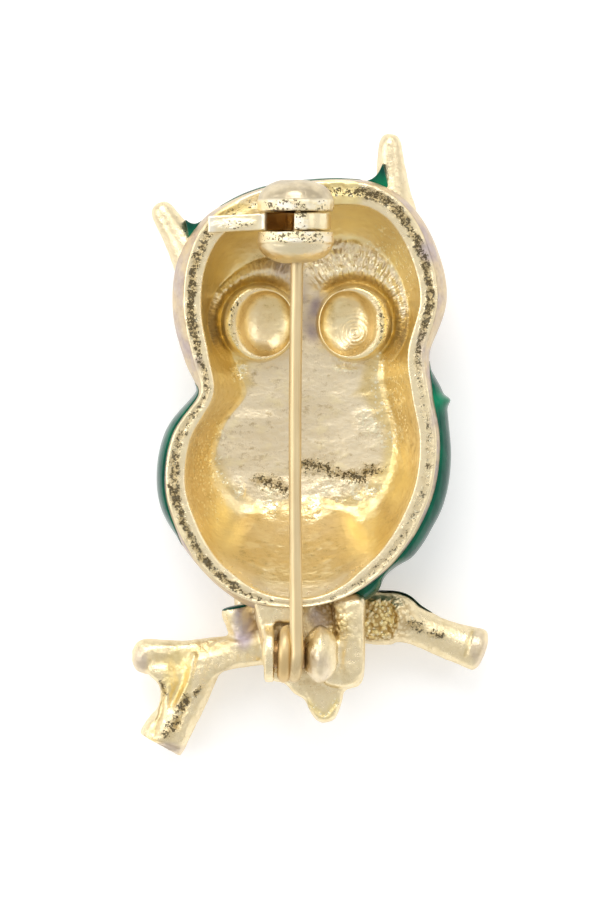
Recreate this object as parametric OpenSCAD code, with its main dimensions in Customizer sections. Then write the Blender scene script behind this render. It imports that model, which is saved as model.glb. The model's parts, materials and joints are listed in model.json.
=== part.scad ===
// Owl brooch, lying on its front with its back up
// X runs across the owl, Y up it, Z from the front to the back, in millimetres
// The origin is on the surface it lies on, under the middle of its outline

/* [Owl shell] */
// Width of the owl across the outer edge of its rim
owl_w = 19.7; // [16:0.1:26]
// Height of the owl from the lower to the upper edge of its rim
owl_h = 30.8; // [26:0.1:40]
// Sideways place of the middle of the owl
owl_x = -0.6; // [-1.5:0.1:1]
// Place of the middle of the owl up the brooch
owl_y = 3.85; // [3:0.05:5]
// Height of the filed rim over the surface
rim_z = 8; // [7:0.1:10]
// Width of the filed rim
rim_w = 1.25; // [0.9:0.05:1.6]
// Thickness of the cast wall
wall = 1.1; // [0.7:0.05:1.5]
// How far the side stands out beyond the rim
flare = 0.75; // [0.3:0.05:1.2]
// How far in from the rim the hollow reaches its floor
hollow_run = 2.9; // [2:0.1:3.5]
// How far in from the side the front becomes flat
dome_run = 4; // [3:0.1:4.5]
// Height of the belly over the surface
belly_z = 0.4; // [0.2:0.05:1]
// Height of the face over the surface
face_z = 1.3; // [0.8:0.05:2]
// How much higher than the belly the front lies at the waist
waist_rise = 1.7; // [1:0.1:2.2]

/* [Eyes] */
// Distance between the middles of the two eyes
eye_gap = 7; // [6.4:0.1:8]
// Height of the eyes up the brooch
eye_y = 9.1; // [8:0.1:10]
// Diameter of an eye
eye_d = 3.6; // [2.8:0.1:4]
// Height of an eye from its seat to its top
eye_h = 2.1; // [1.8:0.1:2.6]
// Diameter of an eye cup at its foot, in the hollow
cup_d = 5.2; // [4.8:0.1:5.6]
// Diameter of an eye cup at its mouth
cup_mouth_d = 4.4; // [4:0.1:4.8]
// Height of an eye cup's mouth over the surface
cup_z = 4.7; // [4.2:0.1:5.5]
// Depth of the dish in the mouth of an eye cup
dish = 1.1; // [0.6:0.1:1.4]
// How far each eye cup leans to the middle, in degrees
cup_lean = 11; // [0:1:14]
// How far the eyes stand to the right of the owl's middle
eye_shift = 0.4; // [0:0.1:0.8]
// Thickness of the collar round an eye on the front
collar = 0.5; // [0.3:0.05:0.7]
// Width of the beak where it leaves the face
beak = 2.4; // [1.6:0.1:3]

/* [Ears] */
// Length of the left ear
ear_left_len = 4.8; // [4:0.1:6]
// Length of the right ear
ear_right_len = 5.1; // [4:0.1:6]
// Thickness of an ear
ear_d = 1.5; // [1.2:0.1:2]
// Height of the ears over the surface
ear_z = 4.8; // [4:0.1:6]
// Thickness of the enamel in an ear's notch
ear_enamel = 1.6; // [1:0.1:2.2]

/* [Branch] */
// Span of the branch from end to end
branch_w = 25.9; // [24:0.1:32]
// Height of the branch, from its left knob to its forked end
branch_h = 11; // [9:0.1:14]
// Thickness of the branch at its cut ends
branch_d = 3; // [2.4:0.1:3.4]
// Height of the middle of the branch over the surface
branch_z = 2.8; // [2.6:0.1:3.6]
// Thickness of a toe
toe_d = 1.4; // [1.2:0.1:1.6]
// Length of a toe between its round ends
toe_len = 2.9; // [2.4:0.1:3.4]
// Thickness of a leg
leg_d = 2.8; // [2:0.1:3.4]
// How far in from the owl's lower edge the legs stand
leg_in = 1.2; // [0.8:0.1:1.6]
// How far the branch reaches over the owl's lower edge
branch_lap = 0.25; // [0.1:0.05:0.5]
// Length of the tail below the bracket
tail = 2.5; // [1.5:0.1:4]

/* [Hinge] */
// Distance of the hinge below the owl
hinge_drop = 3.45; // [3:0.05:4.5]
// Sideways place of the pin
pin_x = -0.93; // [-1.5:0.01:0]
// Height of the pin over the rim
pin_over_rim = 1.9; // [1.7:0.05:2.6]
// Thickness of the pin
pin_d = 0.95; // [0.8:0.01:1.1]
// Distance from the hinge to where the pin is straight
pin_neck = 2.8; // [2.5:0.1:4]
// Length of the pin's point
point_len = 3.2; // [2:0.1:5]
// Outer diameter of the pin's coil
coil_d = 4.1; // [3.8:0.1:4.4]
// Room left round the coil
coil_room = 0.2; // [0.1:0.05:0.4]
// Clearance between the coil and its rivet
rivet_play = 0.06; // [0.03:0.01:0.09]
// Diameter of the domed right lug
lug_d = 4.3; // [4:0.1:4.6]
// Thickness of the domed right lug
lug_t = 2.3; // [2:0.1:2.6]
// Thickness of the left lug
left_lug_t = 0.7; // [0.5:0.05:0.9]
// Width of the hinge bracket at the rim
bracket_w = 8; // [7.8:0.1:8.6]
// Thickness of the wall on the right of the bracket
bracket_wall = 1.6; // [1:0.1:2]

/* [Catch] */
// Distance of the middle of the catch below the crown
catch_drop = 2.95; // [2.6:0.05:4]
// Diameter of the catch housing
catch_d = 5.5; // [5.4:0.1:6]
// Length of the catch housing
catch_len = 6; // [5:0.1:7]
// Length of each domed end of the housing
catch_dome = 1.6; // [1:0.1:2]
// Width of the mouth that the pin goes in at
mouth = 1.7; // [1.4:0.1:2]
// Thickness of the slotted rotor
rotor_t = 1.3; // [1:0.05:1.6]
// Diameter of the slotted rotor
rotor_d = 4.7; // [4.2:0.1:4.8]
// Clearance round the rotor
rotor_play = 0.08; // [0.04:0.01:0.1]
// Clearance on each side of the rotor and of its lever
slot_play = 0.1; // [0.05:0.01:0.2]
// Length of the lever beyond the rotor's middle
lever_len = 6.4; // [5:0.1:7.5]
// Thickness of the lever
lever_t = 1.1; // [0.8:0.05:1.3]

/* [Enamel] */
// Thickness of the enamel on the right wing
right_wing_t = 0.65; // [0.4:0.05:0.9]
// Thickness of the enamel on the left wing
left_wing_t = 0.35; // [0.25:0.05:0.6]
// Thickness of the enamel along the crown and the knobs
line_t = 0.2; // [0.15:0.05:0.4]
// Gap between the enamel or an eye and the metal
seat_gap = 0.05; // [0.03:0.01:0.1]

/* [Hidden] */
$fn = 48;
wire_sides = 24;

// Outline, a row for every 12 degrees from the right over the crown: how far the rim reaches as a share of
// the ellipse that the owl fills, how much of the flare stands there, and how long the hollow's slope is
REACH = 0;
SWELL = 1;
SLOPE = 2;
outline_rows = [
    [0.94, 0.9, 0.85], [0.93, 0.85, 0.8], [1.1, 0.9, 0.7], [1.16, 0.8, 0.8], [1.17, 0.55, 0.95],
    [1.125, 0.35, 1.05], [1.055, 0.2, 1.1], [1.005, 0.2, 1.1], [0.99, 0.2, 1.1], [1.005, 0.25, 1.05],
    [1.035, 0.3, 1], [1.07, 0.5, 0.9], [1.04, 1, 0.75], [0.948, 1.05, 0.7], [0.816, 1, 0.75],
    [0.741, 0.55, 0.8], [0.967, 0.4, 0.9], [1.09, 0.4, 0.95], [1.11, 0.35, 1.1], [1.1, 0.15, 1.35],
    [1.07, 0.15, 1.65], [1.05, 0, 1.9], [1.035, 0, 2], [1.03, 0, 2], [1.035, 0, 1.85],
    [1.035, 0.25, 1.55], [1.04, 0.5, 1.25], [1.055, 0.85, 1.05], [1.057, 1, 0.9], [1.018, 1, 0.85]
];

// Outer side from the rim to the front: how far in, as a share of the dome run, how far down, as a share of
// the depth, and how much of the flare is left
INSET = 0;
DROP = 1;
PROUD = 2;
side_rows = [
    [0, 0, 0], [0, 0.07, 0.4], [0, 0.2, 0.8], [0, 0.36, 1], [0.03, 0.52, 0.95], [0.1, 0.68, 0.75],
    [0.24, 0.83, 0.4], [0.46, 0.94, 0.1], [0.75, 1, 0]
];

// Wall of the hollow from the rim to its floor: how far in, as a share of the hollow run, and how far down
hollow_rows = [[0, 0], [0.05, 0.22], [0.15, 0.44], [0.31, 0.65], [0.53, 0.83], [0.77, 0.95], [1, 1]];

// Shares of the way out from the middle at which the floor and the front have a ring of points
floor_shares = [0.16, 0.32, 0.48, 0.64, 0.8];

// Belly and face: how far up the owl from its middle, and their half width and half height, as shares of the
// owl's
belly_at = -0.21;
belly_size = [0.42, 0.26];
face_at = 0.2;
face_size = [0.5, 0.2];

// Branch: sideways place as a share of half the span, height as a share of the branch's, girth as a share of
// the thickness at the cut ends
ALONG = 0;
LEVEL = 1;
GIRTH = 2;
right_branch = [
    [0.19, -0.13, 1.2], [0.31, -0.1, 1.28], [0.41, -0.105, 1.32], [0.52, -0.11, 1.26], [0.585, -0.15, 0.98],
    [0.703, -0.215, 0.9], [0.838, -0.275, 0.95], [0.955, -0.32, 1.02]
];
left_branch = [
    [-0.19, -0.27, 1], [-0.289, -0.285, 1], [-0.412, -0.325, 0.84], [-0.53, -0.35, 0.88],
    [-0.63, -0.38, 0.98], [-0.74, -0.375, 0.88], [-0.85, -0.36, 0.83], [-0.93, -0.36, 0.84],
    [-0.975, -0.36, 0.66], [-0.998, -0.36, 0.3]
];
fork = [
    [-0.565, -0.345, 0.86], [-0.635, -0.48, 1.06], [-0.69, -0.63, 1.06], [-0.755, -0.775, 1.08],
    [-0.82, -0.9, 1.2], [-0.848, -0.955, 1.1]
];
knob = [[-0.35, -0.3, 0.8], [-0.38, -0.17, 0.72], [-0.4, -0.07, 0.8], [-0.407, -0.03, 0.74]];
// Depth of the branch as a share of its width, and the sides of a twig or an ear
branch_flat = 0.92;
branch_sides = 12;
// Rows of the right branch along which its enamel lies, and the width of the left knob's enamel as a share
// of the knob's
knob_from = 2;
knob_to = 3;
knob_cap = 0.75;

// Foot of the bracket round to the tail: sideways place as a share of the bracket's width, from its left, and
// how far below the foot as a share of the tail
tail_rows = [
    [1, -0.36], [0.94, -0.1], [0.81, 0.14], [0.82, 0.36], [0.76, 0.75], [0.675, 0.97], [0.61, 1],
    [0.545, 0.8], [0.46, 0.45], [0.2, 0], [0.12, -0.64]
];

// Ear: distance from its foot as a share of its length, and its thickness as a share of the ear's
ear_rows = [[-0.1, 0.95], [0.2, 0.95], [0.5, 1], [0.75, 0.98], [0.9, 0.82], [0.97, 0.54], [1, 0.2]];
// Where each ear stands round the outline, and which way it points
left_ear_turn = 142.5;
left_ear_way = 124;
right_ear_turn = 52;
right_ear_way = 92;
// How far up the ear, and how many degrees along the crown, the enamel in its notch reaches
notch_reach = 0.62;
notch_turn = 11;

// Places of the enamel round the outline in degrees, the side rows it spans, and its thickness along them
FROM = 0;
TO = 1;
left_wing_span = [175, 220];
right_wing_span = [300, 370];
crown_span = [65, 125];
wing_rows = [1, 7];
crown_rows = [2, 6];
left_wing_list = [0.15, 0.6, 0.85, 0.95, 1, 1, 0.9, 0.75, 0.55, 0.2];
right_wing_list = [0.4, 0.3, 0.2, 0.25, 0.3, 0.35, 0.4, 0.45, 0.65, 0.5, 0.42, 0.95, 1.15, 0.8, 0.15];
crown_list = [0.5, 1, 1, 0.5];

turns = 72;
turn_step = 360 / turns;
depth = rim_z - belly_z;
owl_middle = [owl_x, owl_y];
owl_bottom = owl_y - owl_h / 2;
owl_top = owl_y + owl_h / 2;
eye_x = owl_x + eye_shift;
cup_lip = 0.15;
socket_depth = eye_h + seat_gap;
foot_x = 0.15 * owl_w;
foot_y = owl_bottom + leg_in;
toe_pitch = 0.9 * toe_d;
leg_z = leg_d / 2 + belly_z;
branch_top = owl_bottom + branch_lap;

// Hinge: places along its axis count from the pin
pin_z = rim_z + pin_over_rim;
hinge_y = owl_bottom - hinge_drop;
coil_r = (coil_d - pin_d) / 2;
hinge_z = pin_z - coil_r;
turn_pitch = 0.97 * pin_d;
rivet_r = coil_d / 2 - pin_d - rivet_play;
rivet_seat = 0.02;
rivet_head = 0.15;
rivet_end = 0.3;
left_lug_x = -turn_pitch - pin_d / 2 - coil_room - seat_gap;
right_lug_x = pin_d / 2 + rotor_play;
lug_middle = right_lug_x + lug_t / 2;
lug_foot = 0.9;
bracket_left = pin_x - 0.4 * bracket_w;
bracket_right = bracket_left + bracket_w;
bracket_lap = 0.5;
bracket_margin = 0.45;
wall_in = 1.2;
bracket_top = owl_bottom + bracket_lap;
bracket_foot = hinge_y - coil_d / 2 - bracket_margin;
bracket_floor = hinge_z - coil_d / 2 - coil_room;
plate_w = 0.42 * bracket_w;
plate_y = hinge_y + coil_d / 4;
plate_z = rim_z - coil_room;

// Catch: places along its axis count from the middle of the rotor
catch_y = owl_top - catch_drop;
rotor_room = rotor_t + 2 * slot_play;
slot_from = 97;
slot_to = 163;
dome_steps = 6;
shaft_clear = 0.4;
tip_over = 0.85;
shaft_from = hinge_y + pin_neck;
shaft_to = catch_y - catch_len / 2 - shaft_clear;
pin_tip = catch_y + rotor_t / 2 + tip_over;

// A smooth curve through the rows of a column, which go all the way round
function share(rows, column, turn) =
    let (
        count = len(rows),
        place = turn / 360 * count,
        whole = floor(place),
        t = place - whole,
        p = [for (k = [-1:2]) rows[(whole + k + 2 * count) % count][column]]
    )
    p[1] + t / 2 * (p[2] - p[0] + t * (2 * p[0] - 5 * p[1] + 4 * p[2] - p[3]
        + t * (3 * (p[1] - p[2]) + p[3] - p[0])));

// Straight steps through an evenly spaced list, from 0 at its start to 1 at its end
function along(list, t) =
    let (place = min(max(t, 0), 1) * (len(list) - 1), whole = min(floor(place), len(list) - 2))
    list[whole] + (place - whole) * (list[whole + 1] - list[whole]);

// Outer edge of the rim, at a turn in degrees
function rim(turn) =
    let (reach = share(outline_rows, REACH, turn))
    [owl_x + owl_w / 2 * reach * cos(turn), owl_y + owl_h / 2 * reach * sin(turn)];

function outward(turn) =
    let (run = rim(turn + 1) - rim(turn - 1))
    [run.y, -run.x] / norm(run);

function edge(turn, out) = rim(turn) + out * outward(turn);

// Widest line of the side, moved out by a distance
function side_edge(turn, out) = edge(turn, flare * share(outline_rows, SWELL, turn) + out);

// Moves a point towards the middle of the owl
function pull(p, run) =
    let (way = p - owl_middle)
    owl_middle + way * (1 - run / norm(way));

// A round hill, 1 at its top, up the owl from its middle
function hill(p, at, size) =
    exp(-pow((p.x - owl_x) / (size.x * owl_w), 2) - pow((p.y - owl_y - at * owl_h) / (size.y * owl_h), 2));

// How far the front lies below the rim: a belly and a face with the waist between
function front_depth(p) =
    let (belly = hill(p, belly_at, belly_size), face = hill(p, face_at, face_size))
    depth - waist_rise + waist_rise * belly + (waist_rise - face_z + belly_z) * face * (1 - belly);

function side_point(turn, row, out) =
    let (
        shares = side_rows[row],
        base = edge(turn, flare * share(outline_rows, SWELL, turn) * shares[PROUD] + out),
        p = pull(base, dome_run * share(outline_rows, SLOPE, turn) * shares[INSET])
    )
    [p.x, p.y, rim_z - shares[DROP] * front_depth(p)];

function hollow_point(turn, row) =
    let (
        shares = hollow_rows[row],
        p = pull(edge(turn, -rim_w), hollow_run * share(outline_rows, SLOPE, turn) * shares[INSET])
    )
    [p.x, p.y, rim_z - shares[DROP] * (front_depth(p) - wall)];

function to_middle(p, part) = owl_middle + part * ([p.x, p.y] - owl_middle);

function front_point(turn, part) =
    let (p = to_middle(side_point(turn, len(side_rows) - 1, 0), part))
    [p.x, p.y, rim_z - front_depth(p)];

function floor_point(turn, part) =
    let (p = to_middle(hollow_point(turn, len(hollow_rows) - 1), part))
    [p.x, p.y, rim_z - front_depth(p) + wall];

function sum(list, column, i = 0) = i == len(list) ? 0 : list[i][column] + sum(list, column, i + 1);

// Radius of a sphere whose cap has this height over a circle of this diameter
function cap_r(d, h) = (pow(d / 2, 2) + pow(h, 2)) / (2 * h);

// A ring of points round a station: its place, its sideways direction, and its two half sizes
function oval(place, side, half_w, half_d) =
    [for (k = [0:branch_sides - 1])
        let (a = 360 * k / branch_sides)
        place + [side.x, side.y, 0] * half_w * cos(a) + [0, 0, half_d * sin(a)]];

function twig_place(row) = [branch_w / 2 * row[ALONG], branch_top + branch_h * row[LEVEL], branch_z];

// The direction to the left of a twig that runs along its rows
function twig_side(rows, i) =
    let (way = twig_place(rows[min(i + 1, len(rows) - 1)]) - twig_place(rows[max(i - 1, 0)]))
    [-way.y, way.x] / norm(way);

// Half profile of a domed end of the catch housing, from its middle out
function dome_point(i) =
    let (a = 90 * i / dome_steps)
    [catch_d / 2 * sin(a), catch_len / 2 - catch_dome * (1 - cos(a))];

// Closes a row of rings, each with the same number of points, into a solid
module rings_solid(rings) {
    count = len(rings[0]);
    last = (len(rings) - 1) * count;
    middles = [for (ring = [rings[0], rings[len(rings) - 1]]) [for (k = [0:2]) sum(ring, k) / count]];
    points = concat([for (ring = rings) each ring], middles);
    faces = concat(
        [for (r = [0:len(rings) - 2], k = [0:count - 1])
            let (next = (k + 1) % count)
            each [
                [r * count + k, (r + 1) * count + k, (r + 1) * count + next],
                [r * count + k, (r + 1) * count + next, r * count + next]
            ]],
        [for (k = [0:count - 1]) [len(points) - 2, k, (k + 1) % count]],
        [for (k = [0:count - 1]) [len(points) - 1, last + (k + 1) % count, last + k]]
    );
    polyhedron(points, faces);
}

// The cast body and head: down the front, up the side, over the rim and down to the floor of the hollow
module shell() {
    ring_turns = [for (k = [0:turns - 1]) k * turn_step];
    rings_solid(concat(
        [for (part = floor_shares) [for (turn = ring_turns) front_point(turn, part)]],
        [for (row = [len(side_rows) - 1:-1:0]) [for (turn = ring_turns) side_point(turn, row, 0)]],
        [for (row = [0:len(hollow_rows) - 1]) [for (turn = ring_turns) hollow_point(turn, row)]],
        [for (k = [len(floor_shares) - 1:-1:0]) [for (turn = ring_turns) floor_point(turn, floor_shares[k])]]
    ));
}

// A round twig of the branch along its rows
module twig(rows) {
    rings_solid([for (i = [0:len(rows) - 1])
        let (half = branch_d / 2 * rows[i][GIRTH])
        oval(twig_place(rows[i]), twig_side(rows, i), half, half * branch_flat)]);
}

// An ear that leaves the outline at a turn and points its way, thicker all round by a distance
module ear(turn, way, len, extra) {
    foot = edge(turn, -ear_d / 3);
    rings_solid([for (row = ear_rows)
        let (half = ear_d / 2 * row[1] + extra, at = foot + len * row[0] * [cos(way), sin(way)])
        oval([at.x, at.y, ear_z], [-sin(way), cos(way)], half, half)]);
}

module eye_at(side) {
    translate([eye_x + side * eye_gap / 2, eye_y, 0]) children();
}

// The tapered cup behind an eye, with a dish in its mouth
module cup(side) {
    cup_h = cup_z - face_z;
    dish_r = cap_r(cup_mouth_d - 2 * cup_lip, dish);
    eye_at(side) translate([0, 0, face_z]) rotate([0, -side * cup_lean, 0]) difference() {
        cylinder(h = cup_h, d1 = cup_d, d2 = cup_mouth_d);
        translate([0, 0, cup_h + dish_r - dish]) sphere(r = dish_r);
    }
}

// The round hole in the front that an eye is set in
module socket(side) {
    eye_at(side) translate([0, 0, -wall]) cylinder(h = wall + socket_depth, d = eye_d + 2 * seat_gap);
}

module eye_collar(side) {
    eye_at(side) translate([0, 0, face_z - collar])
        cylinder(h = wall, d = eye_d + 2 * seat_gap + 2 * collar);
}

module beak_cone() {
    translate([eye_x, eye_y - 0.9 * beak, face_z + wall / 5]) mirror([0, 0, 1])
        cylinder(h = face_z, d1 = beak, d2 = 0.3 * beak);
}

// A plain cabochon: a round seat with a low dome towards the front
module eye(side) {
    dome_r = cap_r(eye_d, 0.45 * eye_h);
    eye_at(side) intersection() {
        cylinder(h = eye_h, d = eye_d);
        translate([0, 0, dome_r]) sphere(r = dome_r);
    }
}

// A foot: a leg down from the belly and three toes over the front of the branch
module foot(side) {
    translate([owl_x + side * foot_x, foot_y, 0]) {
        for (toe = [-1:1]) translate([toe * toe_pitch, 0, toe_d / 2]) {
            rotate([90, 0, 0]) cylinder(h = toe_len, d = toe_d);
            translate([0, -toe_len, 0]) sphere(d = toe_d);
            sphere(d = toe_d);
        }
        translate([0, 0, leg_z]) {
            rotate([-90, 0, 0]) cylinder(h = 0.7 * leg_d, d = leg_d);
            sphere(d = leg_d);
        }
    }
}

// Puts what is drawn along Z onto the hinge's axis, with 0 at the pin
module hinge_axis() {
    translate([pin_x, hinge_y, hinge_z]) rotate([90, 0, 90]) children();
}

// The bracket that carries the hinge: a floor down to the tail, a plate and a wall up to the rim, two lugs
module bracket() {
    translate([0, 0, branch_z]) linear_extrude(bracket_floor - branch_z) polygon(concat(
        [[bracket_left, bracket_top], [bracket_right, bracket_top]],
        [for (row = tail_rows) [bracket_left + bracket_w * row[ALONG], bracket_foot - tail * row[LEVEL]]]
    ));
    difference() {
        union() {
            translate([bracket_left, plate_y, branch_z])
                cube([plate_w, bracket_top - plate_y, plate_z - branch_z]);
            translate([bracket_right - bracket_wall, bracket_foot + wall_in, branch_z])
                cube([bracket_wall, bracket_top - bracket_foot - wall_in, rim_z - branch_z]);
        }
        hinge_axis() translate([0, 0, -bracket_w])
            cylinder(h = bracket_w + right_lug_x + lug_t + seat_gap, d = coil_d + 2 * coil_room);
    }
    left_lug();
    right_lug();
}

module left_lug() {
    lug_r = coil_d / 2 - seat_gap;
    difference() {
        union() {
            hinge_axis() translate([0, 0, left_lug_x - left_lug_t]) cylinder(h = left_lug_t, r = lug_r);
            translate([pin_x + left_lug_x - left_lug_t, hinge_y - 0.9 * lug_r, branch_z])
                cube([left_lug_t, 1.8 * lug_r, hinge_z - branch_z]);
        }
        hinge_axis() cylinder(h = bracket_w, r = rivet_r + rivet_seat, center = true);
    }
}

// The right lug is domed on both sides, and the rivet ends inside it
module right_lug() {
    curve = cap_r(lug_d, lug_t / 2);
    difference() {
        union() {
            hinge_axis() intersection_for (side = [-1, 1])
                translate([0, 0, lug_middle + side * (curve - lug_t / 2)]) sphere(r = curve);
            translate([pin_x + lug_middle - lug_foot / 2, hinge_y - 0.35 * lug_d, branch_z])
                cube([lug_foot, 0.7 * lug_d, hinge_z - branch_z]);
        }
        hinge_axis() translate([0, 0, -lug_t])
            cylinder(h = lug_middle + lug_t + rivet_end + seat_gap, r = rivet_r + rivet_seat);
    }
}

module hinge_rivet() {
    from = left_lug_x - left_lug_t - rivet_head;
    color("darkgoldenrod") hinge_axis() translate([0, 0, from])
        cylinder(h = lug_middle + rivet_end - from, r = rivet_r);
}

// A stretch of the pin between two heights, with its thickness at each as a share of the pin's
module along_pin(from, to, share_from, share_to) {
    translate([pin_x, from, pin_z]) rotate([-90, 0, 0])
        cylinder(h = to - from, d1 = pin_d * share_from, d2 = pin_d * share_to);
}

// One wire: two turns round the rivet, a straight shaft, and a point that ends past the rotor
module pin_stem() {
    color("gold") {
        for (turn = [0, 1]) hinge_axis() translate([0, 0, -turn_pitch * turn])
            rotate_extrude() translate([coil_r, 0]) circle(d = pin_d, $fn = wire_sides);
        hinge_axis() rotate(-60) translate([coil_r, 0, -turn_pitch])
            cylinder(h = turn_pitch, d = 0.85 * pin_d);
        along_pin(hinge_y, shaft_from, 1.1, 1);
        along_pin(shaft_from, shaft_to, 1, 1);
        along_pin(shaft_to, pin_tip - point_len, 1, 0.92);
        along_pin(pin_tip - point_len, pin_tip, 0.92, 0.15);
    }
}

// Puts what is drawn along Z onto the axis of the pin and the catch, with 0 at the middle of the rotor
module catch_axis() {
    translate([pin_x, catch_y, pin_z]) rotate([-90, 0, 0]) children();
}

// The housing of the catch: a domed barrel with a mouth on the right and a chamber for the rotor
module housing() {
    profile = concat(
        [for (i = [0:dome_steps]) [dome_point(i).x, -dome_point(i).y]],
        [for (i = [dome_steps:-1:0]) dome_point(i)]
    );
    difference() {
        union() {
            catch_axis() rotate_extrude() polygon(profile);
            // foot on the rim
            translate([pin_x - 0.4 * catch_d, catch_y + rotor_room / 2, rim_z - wall])
                cube([0.8 * catch_d, (catch_len - rotor_room) / 2 - 0.2 * catch_dome, pin_over_rim]);
        }
        catch_axis() translate([0, 0, -catch_len]) cylinder(h = catch_len + 2 * rotor_t, d = mouth);
        catch_axis() cylinder(h = rotor_room, d = rotor_d + 2 * rotor_play, center = true);
        // room for the lever to turn over the top
        translate([pin_x - catch_d, catch_y - rotor_room / 2, pin_z - lever_t / 2 - slot_play])
            cube([2 * catch_d, rotor_room, catch_d]);
        translate([pin_x, catch_y - catch_len, pin_z - mouth / 2]) cube([catch_d, 2 * catch_len, mouth]);
    }
}

// The disc with its lever, and a slot that lets the pin out when it is turned to the mouth
module catch_rotor() {
    lap = lever_t / 2;
    color("goldenrod") difference() {
        union() {
            catch_axis() cylinder(h = rotor_t, d = rotor_d, center = true);
            translate([pin_x - lever_len, catch_y - rotor_t / 2, pin_z - lever_t / 2])
                cube([lever_len - rotor_d / 2 + lap, rotor_t, lever_t]);
        }
        catch_axis() cylinder(h = 2 * rotor_t, d = mouth, center = true);
        translate([pin_x, catch_y + rotor_t, pin_z]) rotate([90, 0, 0]) linear_extrude(2 * rotor_t)
            polygon(concat([[0, 0]],
                [for (a = [slot_from, (slot_from + slot_to) / 2, slot_to]) rotor_d * [cos(a), sin(a)]]));
    }
}

// The one metal casting, with the bracket and the housing that are soldered to it
module casting() {
    color("gold") difference() {
        union() {
            shell();
            ear(left_ear_turn, left_ear_way, ear_left_len, 0);
            ear(right_ear_turn, right_ear_way, ear_right_len, 0);
            for (rows = [right_branch, left_branch, fork, knob]) twig(rows);
            for (side = [-1, 1]) {
                cup(side);
                eye_collar(side);
                foot(side);
            }
            beak_cone();
            bracket();
            housing();
        }
        for (side = [-1, 1]) socket(side);
    }
}

// Enamel over the outer side, between two turns and two side rows, its thickness following a list
module side_enamel(span, rows, thickness, list) {
    steps = floor((span[TO] - span[FROM]) / turn_step);
    rings_solid([for (i = [0:steps])
        let (turn = span[FROM] + i * turn_step, most = thickness * along(list, i / steps))
        concat(
            [for (row = [rows[FROM]:rows[TO]])
                let (rise = sin(180 * (row - rows[FROM] + 0.6) / (rows[TO] - rows[FROM] + 1.2)))
                side_point(turn, row, seat_gap + most * rise)],
            [for (row = [rows[TO]:-1:rows[FROM]]) side_point(turn, row, seat_gap)]
        )]);
}

// Enamel that fills the notch between an ear and the crown, on the side that faces the middle of the head
module ear_notch(turn, way, len, towards) {
    foot = edge(turn, -ear_d / 3);
    up = foot + notch_reach * len * [cos(way), sin(way)];
    far = side_edge(turn + towards * notch_turn, 0);
    middle = 0.4 * up + 0.4 * far + 0.2 * foot;
    difference() {
        translate([0, 0, ear_z - ear_enamel / 2]) linear_extrude(ear_enamel) polygon([foot, up, middle, far]);
        ear(turn, way, len, seat_gap);
        linear_extrude(rim_z) polygon([for (k = [0:turns - 1]) side_edge(k * turn_step, seat_gap)]);
    }
}

module wing_enamel_left() {
    color("seagreen") side_enamel(left_wing_span, wing_rows, left_wing_t, left_wing_list);
}

module wing_enamel_right() {
    color("seagreen") side_enamel(right_wing_span, wing_rows, right_wing_t, right_wing_list);
}

module crown_enamel() {
    color("seagreen") side_enamel(crown_span, crown_rows, line_t, crown_list);
}

module ear_enamel_left() {
    color("seagreen") ear_notch(left_ear_turn, left_ear_way, ear_left_len, -1);
}

module ear_enamel_right() {
    color("seagreen") ear_notch(right_ear_turn, right_ear_way, ear_right_len, 1);
}

// A thin cap of enamel on the end of the left knob
module branch_enamel_left() {
    end = len(knob) - 1;
    way = twig_place(knob[end]) - twig_place(knob[end - 1]);
    half = knob_cap * branch_d / 2 * knob[end][GIRTH];
    color("seagreen") rings_solid([for (out = [seat_gap, seat_gap + line_t])
        oval(twig_place(knob[end]) + out * way / norm(way), twig_side(knob, end), half, half * branch_flat)]);
}

// A thin strip of enamel along the upper side of the right branch
module branch_enamel_right() {
    color("seagreen") rings_solid([for (i = [knob_from:knob_to])
        let (
            side = twig_side(right_branch, i),
            half = branch_d / 2 * right_branch[i][GIRTH],
            at = twig_place(right_branch[i]) + [side.x, side.y, 0] * (half + seat_gap + line_t)
        )
        oval(at, side, line_t / 2, half / 2)]);
}

module eye_left() {
    color("darkgreen") eye(-1);
}

module eye_right() {
    color("darkgreen") eye(1);
}

casting();
wing_enamel_left();
wing_enamel_right();
crown_enamel();
ear_enamel_left();
ear_enamel_right();
branch_enamel_left();
branch_enamel_right();
eye_left();
eye_right();
hinge_rivet();
pin_stem();
catch_rotor();
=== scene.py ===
import bpy
import json
import math
import numpy as np
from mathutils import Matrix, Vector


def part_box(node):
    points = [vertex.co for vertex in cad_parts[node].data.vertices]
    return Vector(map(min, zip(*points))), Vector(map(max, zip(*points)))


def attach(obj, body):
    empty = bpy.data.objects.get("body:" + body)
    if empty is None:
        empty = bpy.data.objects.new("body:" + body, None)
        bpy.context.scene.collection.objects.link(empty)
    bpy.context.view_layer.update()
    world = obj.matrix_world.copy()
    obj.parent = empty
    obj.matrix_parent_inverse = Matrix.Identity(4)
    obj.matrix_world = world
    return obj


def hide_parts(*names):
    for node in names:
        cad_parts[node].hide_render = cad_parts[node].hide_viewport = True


# Owl brooch seen from its back. Shapes are worked out in millimetres and become metres in putPiece.

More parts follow.
